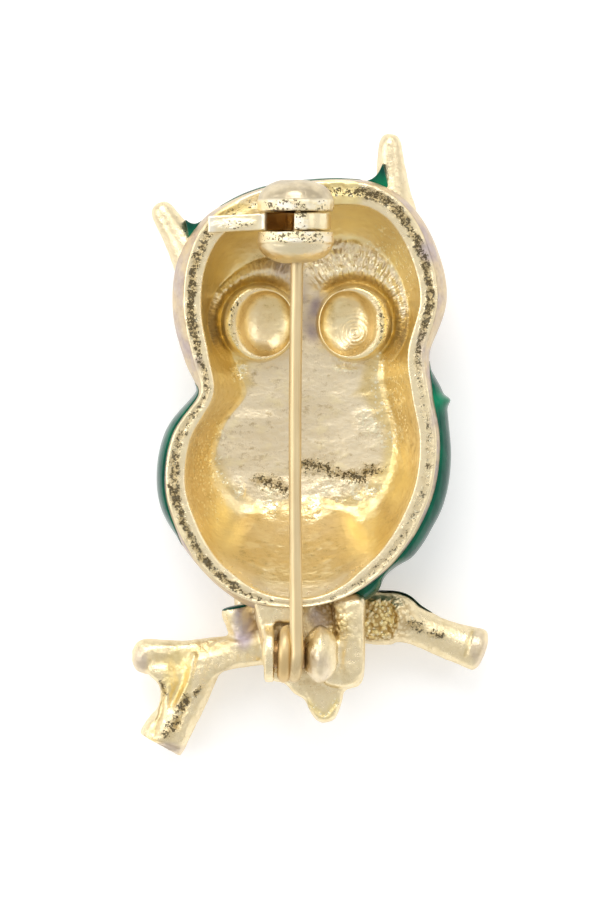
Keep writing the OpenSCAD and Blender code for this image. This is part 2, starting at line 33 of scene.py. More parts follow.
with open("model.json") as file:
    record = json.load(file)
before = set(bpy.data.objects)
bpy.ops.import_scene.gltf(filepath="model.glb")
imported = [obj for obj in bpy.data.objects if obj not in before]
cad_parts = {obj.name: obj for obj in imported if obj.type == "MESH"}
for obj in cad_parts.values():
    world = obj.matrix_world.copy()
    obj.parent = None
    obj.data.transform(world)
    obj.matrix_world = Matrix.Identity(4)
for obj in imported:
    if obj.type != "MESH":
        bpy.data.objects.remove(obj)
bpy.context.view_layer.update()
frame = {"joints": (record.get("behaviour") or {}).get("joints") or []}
mm = 0.001
pi = math.pi
joints = {joint["name"]: joint for joint in frame["joints"]}
hingeX, hingeY, hingeZ = (v / mm for v in joints["pin_hinge"]["pos_m"])
catchX, catchY, pinZ = (v / mm for v in joints["catch_turn"]["pos_m"])

camera = bpy.data.objects.new("camera", bpy.data.cameras.new("camera"))
bpy.context.scene.collection.objects.link(camera)
bpy.context.scene.camera = camera
view = {"centre": (-0.69, -0.22), "tall": 65.3, "plane": 7.0, "height": 900, "sensor": 36,
        "clip": (0.01, 20)}
camera.location = [v * mm for v in (*view["centre"], view["height"])]
camera.data.sensor_fit = "VERTICAL"
camera.data.sensor_height = view["sensor"]
camera.data.lens = view["sensor"] * (view["height"] - view["plane"]) / view["tall"]
camera.data.clip_start, camera.data.clip_end = view["clip"]
print("camera placed")


# Smooth step from 0 at low to 1 at high
def ease(low, high, x):
    t = np.clip((x - low) / (high - low), 0, 1)
    return t * t * (3 - 2 * t)


# Rises from 0 to 1 between a and b, and falls back to 0 between c and d
def hump(x, a, b, c, d):
    return ease(a, b, x) * (1 - ease(c, d, x))


# Bell curve: 1 in the middle and about a third at this width from it
def bell(far, wide):
    return np.exp(-(far / wide) ** 2)


# Cubic through four neighbouring rows, a share t of the way from the second to the third
def cubic(rows, t):
    a, b, c, d = rows
    return b + t / 2 * (c - a + t * (2 * a - 5 * b + 4 * c - d + t * (3 * (b - c) + d - a)))


# Smooth curve through rows that go all the way round, at a turn in degrees
def roundRows(rows, turn):
    rows = np.asarray(rows, float)
    place = np.asarray(turn, float) / 360 * len(rows)
    whole = np.floor(place).astype(int)
    t = (place - whole)[..., None] if rows.ndim > 1 else place - whole
    return cubic([rows[(whole + k) % len(rows)] for k in (-1, 0, 1, 2)], t)


# The same curve through rows with two ends, spread over t from 0 to 1
def openRows(rows, t):
    rows = np.asarray(rows, float)
    rows = np.concatenate([2 * rows[:1] - rows[1:2], rows, 2 * rows[-1:] - rows[-2:-1]])
    last = len(rows) - 4
    place = np.clip(np.asarray(t, float), 0, 1) * (last + 1)
    whole = np.minimum(np.floor(place).astype(int), last)
    t = (place - whole)[..., None] if rows.ndim > 1 else place - whole
    return cubic([rows[whole + k] for k in (0, 1, 2, 3)], t)


# Smooth closed outline through corners
def closedLine(corners, count):
    return openRows(corners + corners[:1], np.linspace(0, 1, count + 1)[:-1])


# Corners of an oblong between its left, low, right and high sides
def oblong(left, low, right, high):
    return [(left, low), (right, low), (right, high), (left, high)]


# A number of equal turns round a circle
def around(count):
    return np.linspace(0, 2 * pi, count, endpoint=False)


# Points of a plan at their heights
def lifted(plan, high):
    return np.concatenate([plan, np.broadcast_to(high, plan.shape[:-1])[..., None]], -1)


# Value noise from -1 to 1: seeded random numbers on a lattice of cells of this size, joined by smooth steps
def grain(points, size, seed):
    table = np.random.default_rng(seed).uniform(-1, 1, (32, 32, 32))
    q = np.asarray(points, float) / size
    cell = np.floor(q).astype(int)
    f = q - cell
    f = f * f * (3 - 2 * f)
    total = 0
    for corner in np.ndindex(2, 2, 2):
        share = np.where(corner, f, 1 - f).prod(-1)
        total = total + share * table[tuple(np.moveaxis((cell + corner) % 32, -1, 0))]
    return total


# Distance from each point, seen from above, to a line through the given corners
def nearLine(x, y, corners):
    best = np.full(np.shape(x), 1e9)
    for (ax, ay), (bx, by) in zip(corners[:-1], corners[1:]):
        run = (bx - ax) ** 2 + (by - ay) ** 2
        t = np.clip(((x - ax) * (bx - ax) + (y - ay) * (by - ay)) / run, 0, 1)
        best = np.minimum(best, np.hypot(x - ax - t * (bx - ax), y - ay - t * (by - ay)))
    return best


# A soft round patch: 1 in the middle, 0 outside, a smooth step of the distance in half widths
def patch(x, y, at, half, soft=0.35):
    return 1 - ease(1 - soft, 1 + soft, np.hypot((x - at[0]) / half[0], (y - at[1]) / half[1]))


# A soft strip: the same step of the distance along x alone
def strip(x, at, half, soft=0.5):
    return 1 - ease(1 - soft, 1 + soft, np.abs(x - at) / half)


# The strongest of several patches, each a middle and half its width and height
def patches(x, y, rows, soft=0.35):
    return np.max([patch(x, y, at, half, soft) for at, half in rows], 0)


# Corners of a part's faces as triangles, each quad cut in two
def asTriangles(part):
    q = part["quads"]
    return np.concatenate([q[:, [0, 1, 2]], q[:, [0, 2, 3]], part["tris"]])


# Turns every face round if the volume inside comes out negative
def outwards(part):
    v, faces = part["verts"], asTriangles(part)
    size = np.einsum("ij,ij->i", v[faces[:, 0]], np.cross(v[faces[:, 1]], v[faces[:, 2]])).sum()
    if size < 0:
        part["quads"], part["tris"] = part["quads"][:, ::-1], part["tris"][:, ::-1]
    return part


# Outward directions of a part's points, from the areas of the faces about each
def facing(part):
    v, faces = part["verts"], asTriangles(part)
    flat = np.cross(v[faces[:, 1]] - v[faces[:, 0]], v[faces[:, 2]] - v[faces[:, 0]])
    total = np.zeros_like(v)
    for k in range(3):
        np.add.at(total, faces[:, k], flat)
    return total / np.maximum(np.linalg.norm(total, axis=1), 1e-12)[:, None]


# Skin over a grid of points, rows by columns, joined round its columns: a fan to its middle closes each end
def skin(points, ends=(True, True)):
    rows, cols = points.shape[:2]
    verts = points.reshape(-1, 3)
    r, c = np.meshgrid(np.arange(rows - 1), np.arange(cols), indexing="ij")
    n = (c + 1) % cols
    quads = np.stack([r * cols + c, (r + 1) * cols + c, (r + 1) * cols + n, r * cols + n], -1).reshape(-1, 4)
    tris = np.zeros((0, 3), int)
    k = np.arange(cols)
    for end, closed in enumerate(ends):
        if closed:
            base = end * (rows - 1) * cols
            ring = [base + k, base + (k + 1) % cols][::-1 if end else 1]
            tris = np.concatenate([tris, np.stack([np.full(cols, len(verts)), *ring], -1)])
            verts = np.concatenate([verts, points[end * (rows - 1)].mean(0)[None]])
    return outwards({"verts": verts, "quads": quads, "tris": tris})


# Marks on the grid of a skin, each with a value for the middle of either end
def onSkin(marks):
    return {k: np.concatenate([v.ravel(), [v[0].mean(), v[-1].mean()]]) for k, v in marks.items()}


# Tube along a path: rings of an ellipse, wide across the path and tall along its rise
def tube(path, wide, tall, sides=36, rise=(0, 0, 1)):
    path = np.asarray(path, float)
    way = np.gradient(path, axis=0)
    way /= np.linalg.norm(way, axis=1)[:, None]
    across = np.cross(np.asarray(rise, float), way)
    across /= np.linalg.norm(across, axis=1)[:, None]
    up = np.cross(way, across)
    wide, tall = np.broadcast_to(wide, len(path)), np.broadcast_to(tall, len(path))
    ring = across[:, None] * (wide[:, None] * np.cos(around(sides)))[..., None]
    ring = ring + up[:, None] * (tall[:, None] * np.sin(around(sides)))[..., None]
    return skin(path[:, None] + ring)


# Turned piece: a profile of (distance along, radius) spun about an axis from a foot
def turned(profile, foot, axis, sides=64):
    axis = np.asarray(axis, float) / np.linalg.norm(axis)
    side = np.cross(axis, (0.0, 1.0, 0.0) if abs(axis[1]) < 0.9 else (1.0, 0.0, 0.0))
    side /= np.linalg.norm(side)
    other = np.cross(axis, side)
    a = around(sides)[None, :, None]
    along, radius = (np.asarray(profile, float)[:, k][:, None, None] for k in (0, 1))
    return skin(np.asarray(foot, float) + axis * along + radius * (side * np.cos(a) + other * np.sin(a)))


# Slab: an outline lifted from low to high, its edge rounded by a quarter circle at the top and the bottom
def slab(outline, low, high, edge, about=None, steps=5):
    outline = np.asarray(outline, float)
    about = outline.mean(0) if about is None else np.asarray(about, float)
    a = np.linspace(0, pi / 2, steps)
    inset = np.concatenate([edge * (1 - np.sin(a)), edge * (1 - np.cos(a))])
    level = np.concatenate([low + edge * (1 - np.cos(a)), high - edge * (1 - np.sin(a))])
    way = outline - about
    far = np.linalg.norm(way, axis=1)[None, :, None]
    return skin(lifted(about + way[None] * (1 - inset[:, None, None] / far), level[:, None]))


# Parts cast as one: voxels of this size in mm over all of them, then a few rounds of smoothing
def castTogether(parts, voxel, rounds):
    shift = np.cumsum([0] + [len(p["verts"]) for p in parts])
    solid = {k: np.concatenate([p[k] + s for p, s in zip(parts, shift)]) for k in ("quads", "tris")}
    solid["verts"] = np.concatenate([p["verts"] for p in parts])
    piece = meshFrom("raw", solid, 1.0)
    grow = piece.modifiers.new("voxels", "REMESH")
    grow.mode = "VOXEL"
    grow.voxel_size = voxel
    soft = piece.modifiers.new("soft", "SMOOTH")
    soft.factor = 0.5
    soft.iterations = rounds
    graph = bpy.context.evaluated_depsgraph_get()
    mesh = piece.evaluated_get(graph).to_mesh()
    verts = np.zeros(len(mesh.vertices) * 3, np.float32)
    mesh.vertices.foreach_get("co", verts)
    corners = np.zeros(len(mesh.loops), np.int32)
    mesh.loops.foreach_get("vertex_index", corners)
    piece.evaluated_get(graph).to_mesh_clear()
    old = piece.data
    bpy.data.objects.remove(piece)
    bpy.data.meshes.remove(old)
    verts = verts.reshape(-1, 3).astype(float)
    return {"verts": verts, "quads": corners.reshape(-1, 4), "tris": np.zeros((0, 3), int)}


# Moves a part's points by noise, rows of depth, size and seed, and gives their old places and directions
def roughen(part, *rows):
    v, n = part["verts"], facing(part)
    part["verts"] = v + n * sum(depth * grain(v, size, seed) for depth, size, seed in rows)[:, None]
    return v, n


# A mesh object straight from a part's points, quads and triangles
def meshFrom(name, part, scale):
    mesh = bpy.data.meshes.new(name)
    quads, tris = part["quads"], part["tris"]
    corners = np.concatenate([quads.ravel(), tris.ravel()]).astype(np.int32)
    totals = np.concatenate([np.full(len(quads), 4), np.full(len(tris), 3)]).astype(np.int32)
    mesh.vertices.add(len(part["verts"]))
    mesh.vertices.foreach_set("co", (part["verts"] * scale).astype(np.float32).ravel())
    mesh.loops.add(len(corners))
    mesh.loops.foreach_set("vertex_index", corners)
    mesh.polygons.add(len(totals))
    mesh.polygons.foreach_set("loop_start", np.concatenate([[0], np.cumsum(totals)[:-1]]).astype(np.int32))
    mesh.polygons.foreach_set("loop_total", totals)
    mesh.update(calc_edges=True)
    mesh.validate()
    piece = bpy.data.objects.new(name, mesh)
    bpy.context.scene.collection.objects.link(piece)
    return piece


# A finished piece: its mesh in metres, smooth but for edges sharper than the angle, its marks and its finish
def putPiece(name, part, body, finish, node, marks, sharp=60):
    piece = meshFrom(name, part, mm)
    piece.data.polygons.foreach_set("use_smooth", np.ones(len(piece.data.polygons), bool))
    piece.data.set_sharp_from_angle(angle=math.radians(sharp))
    for mark, values in marks.items():
        layer = piece.data.attributes.new(mark, "FLOAT", "POINT")
        layer.data.foreach_set("value", np.full(len(part["verts"]), values, np.float32))
    piece.data.materials.append(finish)
    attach(piece, body)
    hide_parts(node)
    print("made", name, "with", len(asTriangles(part)), "triangles")


# A socket of a material that can stand in sums: each sum adds its Math node
class Wire:
    def __init__(self, finish, socket):
        self.finish, self.socket = finish, socket

    def sum(self, how, first, second):
        return self.finish.add("ShaderNodeMath", {"operation": how}, {0: first, 1: second})

    def __add__(self, other):
        return self.sum("ADD", self, other)

    def __radd__(self, other):
        return self.sum("ADD", other, self)

    def __sub__(self, other):
        return self.sum("SUBTRACT", self, other)

    def __rsub__(self, other):
        return self.sum("SUBTRACT", other, self)

    def __mul__(self, other):
        return self.sum("MULTIPLY", self, other)

    def __rmul__(self, other):
        return self.sum("MULTIPLY", other, self)


# A material and the few kinds of node that its finish is made of
class Finish:
    def __init__(self, name):
        self.material = bpy.data.materials.new(name)
        self.material.use_nodes = True
        self.tree = self.material.node_tree
        self.tree.nodes.clear()
        self.place = self.add("ShaderNodeTexCoord", {}, {}, "Object")

    # One node: its settings first, then the values or wires of its sockets
    def add(self, kind, settings, sockets, output=0):
        node = self.tree.nodes.new(kind)
        for key, value in settings.items():
            setattr(node, key, value)
        for key, value in sockets.items():
            if isinstance(value, Wire):
                self.tree.links.new(value.socket, node.inputs[key])
            else:
                node.inputs[key].default_value = value
        return Wire(self, node.outputs[output]) if len(node.outputs) else node

    # Place on the object, shifted, and lengthened along an axis by stretch
    def spot(self, shift, stretch=(1, 1, 1)):
        sockets = {"Vector": self.place, "Scale": tuple(1 / s for s in stretch), "Location": (shift,) * 3}
        return self.add("ShaderNodeMapping", {}, sockets)

    # Noise with features of a size in mm
    def noise(self, size, detail=2.0, rough=0.5, stretch=(1, 1, 1), shift=0.0):
        sockets = {"Vector": self.spot(shift, stretch), "Scale": 1 / (size * mm), "Detail": detail}
        return self.add("ShaderNodeTexNoise", {}, {**sockets, "Roughness": rough})

    # Random value of each cell of a size in mm, for crumbs and flecks with corners
    def crumbs(self, size, shift=0.0):
        sockets = {"Vector": self.spot(shift), "Scale": 1 / (size * mm)}
        cell = self.add("ShaderNodeTexVoronoi", {}, sockets, "Color")
        return self.add("ShaderNodeSeparateColor", {}, {"Color": cell}, "Red")

    # Soft distance to the middle of each cell of a size in mm, for lumps
    def lumps(self, size, soft=0.3):
        sockets = {"Vector": self.place, "Scale": 1 / (size * mm), "Smoothness": soft}
        return self.add("ShaderNodeTexVoronoi", {"feature": "SMOOTH_F1"}, sockets, "Distance")

    # A piece's own mark as a value
    def mark(self, name):
        return self.add("ShaderNodeAttribute", {"attribute_name": name}, {}, "Fac")

    # Smooth step of a value from low to high
    def step(self, low, high, value, to=(0.0, 1.0)):
        return self.add("ShaderNodeMapRange", {"interpolation_type": "SMOOTHSTEP"},
                        {0: value, 1: low, 2: high, 3: to[0], 4: to[1]})

    # A value kept between 0 and 1
    def clamp(self, value):
        return self.add("ShaderNodeClamp", {}, {0: value})

    # Two colours mixed by a share
    def tint(self, first, second, share):
        first, second = (c if isinstance(c, Wire) else (*c, 1.0) for c in (first, second))
        return self.add("ShaderNodeMix", {"data_type": "RGBA"}, {0: share, 6: first, 7: second}, 2)

    # Colours of the gold laid over the first one, each by its share
    def layers(self, first, *rows):
        base = gold[first]
        for colour, share in rows:
            base = self.tint(base, gold[colour], share)
        return base

    # Bumps of a height, their depth in mm
    def bump(self, height, depth, normal=None):
        sockets = {"Height": height, "Distance": depth * mm, "Strength": 1.0}
        if normal is not None:
            sockets["Normal"] = normal
        return self.add("ShaderNodeBump", {}, sockets)

    # The surface that the sockets give, named with _ for spaces
    def shade(self, **sockets):
        bsdf = self.add("ShaderNodeBsdfPrincipled", {}, {k.replace("_", " "): v for k, v in sockets.items()})
        self.add("ShaderNodeOutputMaterial", {}, {"Surface": bsdf})
        return self.material


# Plated gold: colours, and the sizes in mm of the noises that share them out
# Deep gold paints shade in the cast hollows and is a random tone on the fittings; inside and gap paint shade
# in recesses
# Glow and glint are painted highlights; the filed colour is also a painted highlight at the lever's ends
# The greyish brown fitting colour paints shade on the catch's dome; the pit colour is a painted dark
# reflection in the pits
# The stain colour is a stain and also paints shade on the owl's outer side; brown is a tarnish that also
# paints a brown reflection in the rough band
gold = {
    "pale": (0.945, 0.805, 0.53), "deep": (0.785, 0.615, 0.30), "bright": (0.97, 0.85, 0.55),
    "satin": (0.90, 0.79, 0.58), "glow": (0.99, 0.82, 0.40), "glint": (1.0, 0.92, 0.66),
    "filed": (1.0, 0.95, 0.82),
    "pitAndReflection": (0.09, 0.066, 0.028), "stain": (0.43, 0.36, 0.41), "fittingShade": (0.47, 0.39, 0.27),
    "brown": (0.46, 0.34, 0.15), "gap": (0.42, 0.26, 0.08), "inside": (0.30, 0.15, 0.04),
    "wire": (0.77, 0.62, 0.36), "drawn": (0.64, 0.49, 0.27), "wireDeep": (0.70, 0.50, 0.23),
    "sizes": {"mottle": 2.2, "crumb": 0.15, "coarse": 0.4, "grain": 0.085, "brushed": 0.4, "wave": 0.85,
              "fold": 0.3, "spark": 0.5, "lump": 0.3},
}


# Cast gold: pale on open faces, deep gold painted as shade in the hollows, painted glow and glints, dark
# pits whose colour is a painted dark reflection, and a fine grain
def castGold(name, rough=0.3, relief=1.0, streak=(1, 1, 1)):
    f = Finish(name)
    size = gold["sizes"]
    grit, deep, stain, lumps = (f.mark(k) for k in ("grit", "deep", "stain", "lumps"))
    satin, glow, spark = (f.mark(k) for k in ("satin", "glow", "spark"))
    fold, ray, reach = (f.mark(k) for k in ("fold", "ray", "reach"))
    mottle = f.noise(size["mottle"], 3, 0.6)
    cell = f.crumbs(size["crumb"], 0.31)
    fine = f.noise(size["grain"], 2, 0.5, shift=0.17)
    fleck = cell * 0.26 + f.noise(size["coarse"], 3, 0.6, shift=0.11) * 0.75 + fine * 0.5
    brushed = f.noise(size["brushed"], 4, 0.6, stretch=streak, shift=0.53)
    wave = f.noise(size["wave"], 2, 0.55, stretch=streak, shift=0.9)
    facet = f.noise(size["spark"], 2, 0.6, shift=0.77)
    crumb = f.lumps(size["lump"])
    spot = f.add("ShaderNodeCombineXYZ", {}, {"X": ray, "Y": reach * 0.28})
    folds = f.add("ShaderNodeTexNoise", {}, {"Vector": spot, "Scale": 1 / size["fold"], "Detail": 1.5})
    # Pits dent the bump; their dark colour is a painted dark reflection in the rough band
    pits = f.clamp(f.step(0.695, 0.76, fleck + (grit - 1) * 0.27) * f.step(0.02, 0.35, grit))
    # Share of deep gold: the painted shade of the hollows, broken by random tone
    depth = f.clamp(deep + (mottle - 0.5) * 0.9 * f.step(0, 0.5, deep) + (brushed - 0.5) * 0.8)
    tarnish = f.step(0.5, 0.72, brushed * 0.7 + fine * 0.3 + (mottle - 0.5) * 0.4)
    toneShare = f.step(0.52, 0.75, wave + (mottle - 0.5) * 0.5)
    # Painted glints on the sparkling spots, and painted dots of highlight from the crumbs
    glint = f.step(0.5, 0.6, facet + (spark - 1) * 0.25) * f.step(0.05, 0.4, spark)
    dots = f.step(0.84, 0.88, cell) * f.step(0.03, 0.3, f.mark("dots") + grit * 0.7 + spark * 0.4)
    glint = f.clamp(glint + dots)
    # Layers: glow is a painted highlight, stain also a painted shade, gap a painted shade between crumbs,
    # brown a tarnish and a painted brown reflection in the rough band
    base = f.layers("pale", ("deep", depth), ("satin", f.clamp(satin * (0.95 + (brushed - 0.5) * 1.1))),
                    ("brown", f.clamp(tarnish * (0.08 + 0.6 * deep) + grit * 0.8)),
                    ("bright", toneShare * (0.35 + 0.3 * deep)),
                    ("glow", glow * f.step(0.3, 0.65, mottle, (0.65, 1.0))),
                    ("stain", stain * f.step(0.3, 0.7, mottle, (0.35, 1.0))),
                    ("gap", f.clamp(lumps * f.step(0.38, 0.62, crumb) * 0.85)),
                    ("glint", glint * 0.8), ("pitAndReflection", pits * 0.9))
    shine = rough + (brushed - 0.5) * 0.3 + pits * 0.25 + stain * 0.12 + satin * 0.06
    shine = shine + deep * 0.08 + lumps * 0.1 - glint * 0.1
    height = brushed * 1.0 + fine * 0.4 + wave * (0.7 + deep * 2.4) + lumps * (1 - crumb) * 3.0 + dots * 0.7
    normal = f.bump(height + fold * folds * 9 + spark * facet * 3.4, 0.035 * relief)
    normal = f.bump(fleck * grit - pits * 0.8, 0.1, normal)
    return f.shade(Base_Color=base, Metallic=f.clamp(1 - pits * 0.35),
                   Roughness=f.clamp(shine), Normal=normal)


# Stamped and plated fittings: smoother, with filed bands, a painted highlight at the lever's ends, painted
# shade over the dome and a brown painted shade inside
def fittingGold(name, rough=0.33):
    f = Finish(name)
    grit, deep, stain, paintedShine = (f.mark(k) for k in ("grit", "deep", "stain", "paintedShine"))
    mottle = f.noise(1.3, 3, 0.55)
    patchy = f.noise(0.75, 2, 0.5, stretch=(1.6, 0.8, 1), shift=0.25)
    fleck = f.noise(0.26, 4, 0.68, stretch=(1.5, 1, 1), shift=0.4)
    fine = f.noise(0.1, 2, 0.5, shift=0.2)
    pits = fleck * 0.5 + patchy * 0.5 + (grit - 1) * 0.2 + f.crumbs(0.14, 0.2) * 0.3
    pits = f.step(0.7, 0.73, pits) * f.step(0.1, 0.5, grit)
    # Painted shade inside the barrel and the rotor's slot and over the dome; the filed colour also paints
    # highlights at the lever's ends
    base = f.layers("pale", ("bright", f.step(0.35, 0.75, mottle)), ("deep", f.step(0.5, 0.8, fleck) * 0.35),
                    ("fittingShade", stain * f.step(0.3, 0.7, mottle, (0.6, 1.0))),
                    ("filed", f.clamp(grit * f.step(0.5, 0.4, patchy) * 0.7 + paintedShine)),
                    ("inside", deep), ("pitAndReflection", pits * 0.85))
    normal = f.bump(mottle * 0.8 + fine * 0.3 + fleck * 0.4, 0.05)
    normal = f.bump((fleck + patchy) * grit, 0.07, normal)
    shine = rough + (fleck - 0.5) * 0.25 + pits * 0.25 + (mottle - 0.5) * 0.2
    return f.shade(Base_Color=base, Metallic=f.clamp(1 - pits * 0.3),
                   Roughness=f.clamp(shine), Normal=normal)


# Drawn wire: lines along its length, a little worn
def wireGold(name, rough=0.44):
    f = Finish(name)
    drawn = f.noise(0.16, 3, 0.6, stretch=(1, 40, 1))
    wear = f.noise(1.8, 2, 0.5, stretch=(1, 2.5, 1), shift=0.7)
    # The deeper wire colour goes where the deep mark is: the coil's turn by the left lug
    base = f.layers("wire", ("drawn", f.step(0.35, 0.75, drawn * 0.5 + wear * 0.5)),
                    ("wireDeep", f.mark("deep")))
    shine = f.clamp(rough + (drawn - 0.5) * 0.25 + wear * 0.08)
    return f.shade(Base_Color=base, Metallic=1.0, Roughness=shine, Normal=f.bump(drawn, 0.012))


# Glossy enamel: deep green where it lies thick, lighter where the metal shows through near its thin edge,
# and painted shade that darkens it away from the ears in their notches
def greenEnamel(name, thick=(0.001, 0.062, 0.040), thin=(0.004, 0.26, 0.12)):
    f = Finish(name)
    cloud = f.noise(1.6, 3, 0.55, stretch=(0.5, 2, 1))
    speck = f.noise(0.35, 2, 0.5, shift=0.6)
    share = f.clamp(f.mark("thin") + (cloud - 0.5) * 0.9 + (speck - 0.5) * 0.2)
    return f.shade(Base_Color=f.tint(thick, thin, share), Metallic=0.0,
                   Roughness=f.clamp(0.16 + (cloud - 0.5) * 0.1),
                   Coat_Weight=f.clamp(0.1 + (speck - 0.5) * 0.15), Coat_Roughness=0.04, IOR=1.4,
                   Specular_IOR_Level=0.2, Normal=f.bump(cloud + speck * 0.15, 0.05))


# Glass cabochon: dark green with faint clouds
def eyeGlass(name, dark=(0.005, 0.03, 0.015), light=(0.02, 0.12, 0.06)):
    f = Finish(name)
    cloud = f.noise(0.9, 2, 0.5)
    return f.shade(Base_Color=f.tint(dark, light, f.step(0.35, 0.7, cloud)),
                   Roughness=f.clamp(0.05 + cloud * 0.06), Coat_Weight=1.0, Coat_Roughness=0.03, IOR=1.52,
                   Normal=f.bump(cloud, 0.01))


castFinish = castGold("castGold", streak=(1.6, 1, 1))
branchFinish = castGold("branchGold", 0.29, 1.2)
fittingFinish = fittingGold("fittingGold")
wireFinish = wireGold("wireGold")
enamelFinish = greenEnamel("greenEnamel")
eyeFinish = eyeGlass("eyeGlass")
print("finishes mixed")


# Pieces of the casting and of the enamel all ride the brooch
def putCast(name, part, marks, finish=castFinish, sharp=60):
    putPiece(name, part, "brooch", finish, "casting", marks, sharp)


def putEnamel(name, part, node, thin, sharp=60):
    putPiece(name, part, "brooch", enamelFinish, node, {"thin": thin}, sharp)


# Owl: outline rows every 12 degrees from the right over the crown, each with the reach as a share of the
# ellipse, the swell of the side, the run of the hollow's wall, the rim's width and how rough its band is
owl = {
    "middle": (-0.6, 3.85), "half": (9.85, 15.4), "rim": 8.0, "rimWidth": 1.25, "wall": 1.1, "flare": 0.75,
    "hollowRun": 2.9, "domeRun": 4.0, "depth": 7.6, "waist": 1.7, "face": 1.3, "belly": 0.4,
    "bellyAt": (-0.21, 0.42, 0.26), "faceAt": (0.2, 0.5, 0.2),
    # Patches of painted highlight on the rim, deeper gold and glowing
    "rimGlow": [((2.3, 18.4), (1.2, 1.5)), ((-5.2, 17.0), (1.4, 0.8))],
    "rimStains": [((8.6, 14.2), (0.6, 0.9)), ((8.7, 6.4), (0.7, 1.5)), ((-8.7, 5.2), (0.7, 1.1)),
                  ((9.0, 2.6), (0.4, 1.2))],
    "columns": 560, "wallRows": 36, "floorRows": 46, "sideRows": 24, "frontRows": 26,
    "outline": [
        (0.94, 0.8, 0.75, 1.0, 0.3), (0.93, 0.5, 0.75, 1.0, 0.7), (1.1, 0.9, 0.7, 1.05, 1.0),
        (1.16, 0.8, 0.8, 1.15, 1.0), (1.17, 0.55, 0.95, 1.25, 1.0), (1.125, 0.35, 1.05, 1.3, 1.0),
        (1.055, 0.2, 1.1, 1.4, 0.85), (1.005, 0.2, 1.1, 1.5, 0.45), (0.99, 0.2, 1.1, 1.5, 0.3),
        (1.005, 0.25, 1.05, 1.4, 0.35), (1.035, 0.3, 1.0, 1.3, 0.55), (1.07, 0.5, 0.9, 1.2, 0.8),
        (1.04, 1.0, 0.75, 1.1, 1.0), (0.948, 1.05, 0.7, 1.05, 1.0), (0.816, 0.85, 0.75, 0.95, 0.9),
        (0.741, 0.4, 0.8, 0.75, 0.6), (0.967, 0.4, 0.9, 1.05, 0.75), (1.09, 0.4, 0.95, 1.15, 1.0),
        (1.11, 0.35, 1.15, 1.15, 1.0), (1.1, 0.15, 1.45, 1.05, 1.0), (1.07, 0.3, 1.9, 0.95, 0.85),
        (1.038, 0.55, 2.3, 0.7, 0.45), (1.012, 0.0, 2.5, 0.55, 0.3), (1.004, 0.0, 2.5, 0.5, 0.2),
        (1.01, 0.0, 2.3, 0.65, 0.3), (1.022, 0.25, 1.75, 0.9, 0.45), (1.04, 0.5, 1.15, 0.95, 0.45),
        (1.055, 0.85, 0.85, 1.0, 0.4), (1.057, 1.0, 0.75, 1.0, 0.4), (1.018, 1.0, 0.72, 1.0, 0.35)],
    "side": [(0, 0.015, 0), (0, 0.08, 0.4), (0, 0.2, 0.8), (0, 0.36, 1), (0.03, 0.52, 0.95),
             (0.1, 0.68, 0.75), (0.24, 0.83, 0.4), (0.46, 0.94, 0.1), (0.75, 1, 0)],
    "hollow": [(0, 0.025), (0.05, 0.22), (0.15, 0.44), (0.31, 0.65), (0.53, 0.83), (0.77, 0.95), (1, 1)],
    "straight": [(0, 0.02), (0.12, 0.16), (0.3, 0.37), (0.5, 0.6), (0.7, 0.8), (0.87, 0.95), (1, 1)],
    "rimProfile": [(0.01, -0.1), (0.04, -0.03), (0.09, 0), (0.15, -0.01), (0.2, -0.06), (0.27, -0.1),
                   (0.35, -0.12), (0.43, -0.12), (0.51, -0.1), (0.58, -0.05), (0.64, -0.01), (0.72, 0),
                   (0.84, 0), (0.92, -0.02), (0.97, -0.07)],
}
middle = np.array(owl["middle"])


# Rim at a turn in degrees: an ellipse about the middle times the outline's reach
def rimAt(turn):
    a = np.radians(turn)
    reach = roundRows(owl["outline"], turn)[..., :1]
    return middle + owl["half"] * reach * np.stack([np.cos(a), np.sin(a)], -1)


# The rim moved out square to its run, from one degree before the turn to one after
def edgeAt(turn, out):
    run = rimAt(turn + 1) - rimAt(turn - 1)
    way = np.stack([run[..., 1], -run[..., 0]], -1) / np.linalg.norm(run, axis=-1)[..., None]
    return rimAt(turn) + np.asarray(out)[..., None] * way


# Points moved by a run straight towards the middle
def pulled(p, run):
    way = p - middle
    return middle + way * (1 - run / np.linalg.norm(way, axis=-1))[..., None]


# Depth of the front below the rim: a round belly and a face, each a bell curve, and the waist between them
def frontDepth(p):
    wide, tall = (half * 2 for half in owl["half"])
    x, y = np.moveaxis(p - middle, -1, 0)

    # One bell curve in x times one in y
    def hill(at, sizeX, sizeY):
        return bell(x, sizeX * wide) * bell(y - at * tall, sizeY * tall)
    belly, face = hill(*owl["bellyAt"]), hill(*owl["faceAt"])
    rise = owl["waist"]
    return owl["depth"] - rise + rise * belly + (rise - owl["face"] + owl["belly"]) * face * (1 - belly)


# Outer side at a turn and a share t of the way from the rim to the front, moved out by a distance
def sidePoint(turn, t, out=0.0):
    rows = roundRows(owl["outline"], turn)
    inset, drop, proud = np.moveaxis(openRows(owl["side"], t), -1, 0)
    edge = edgeAt(turn, owl["flare"] * rows[..., 1] * proud + out)
    p = pulled(edge, owl["domeRun"] * rows[..., 2] * inset)
    return lifted(p, owl["rim"] - drop * frontDepth(p))


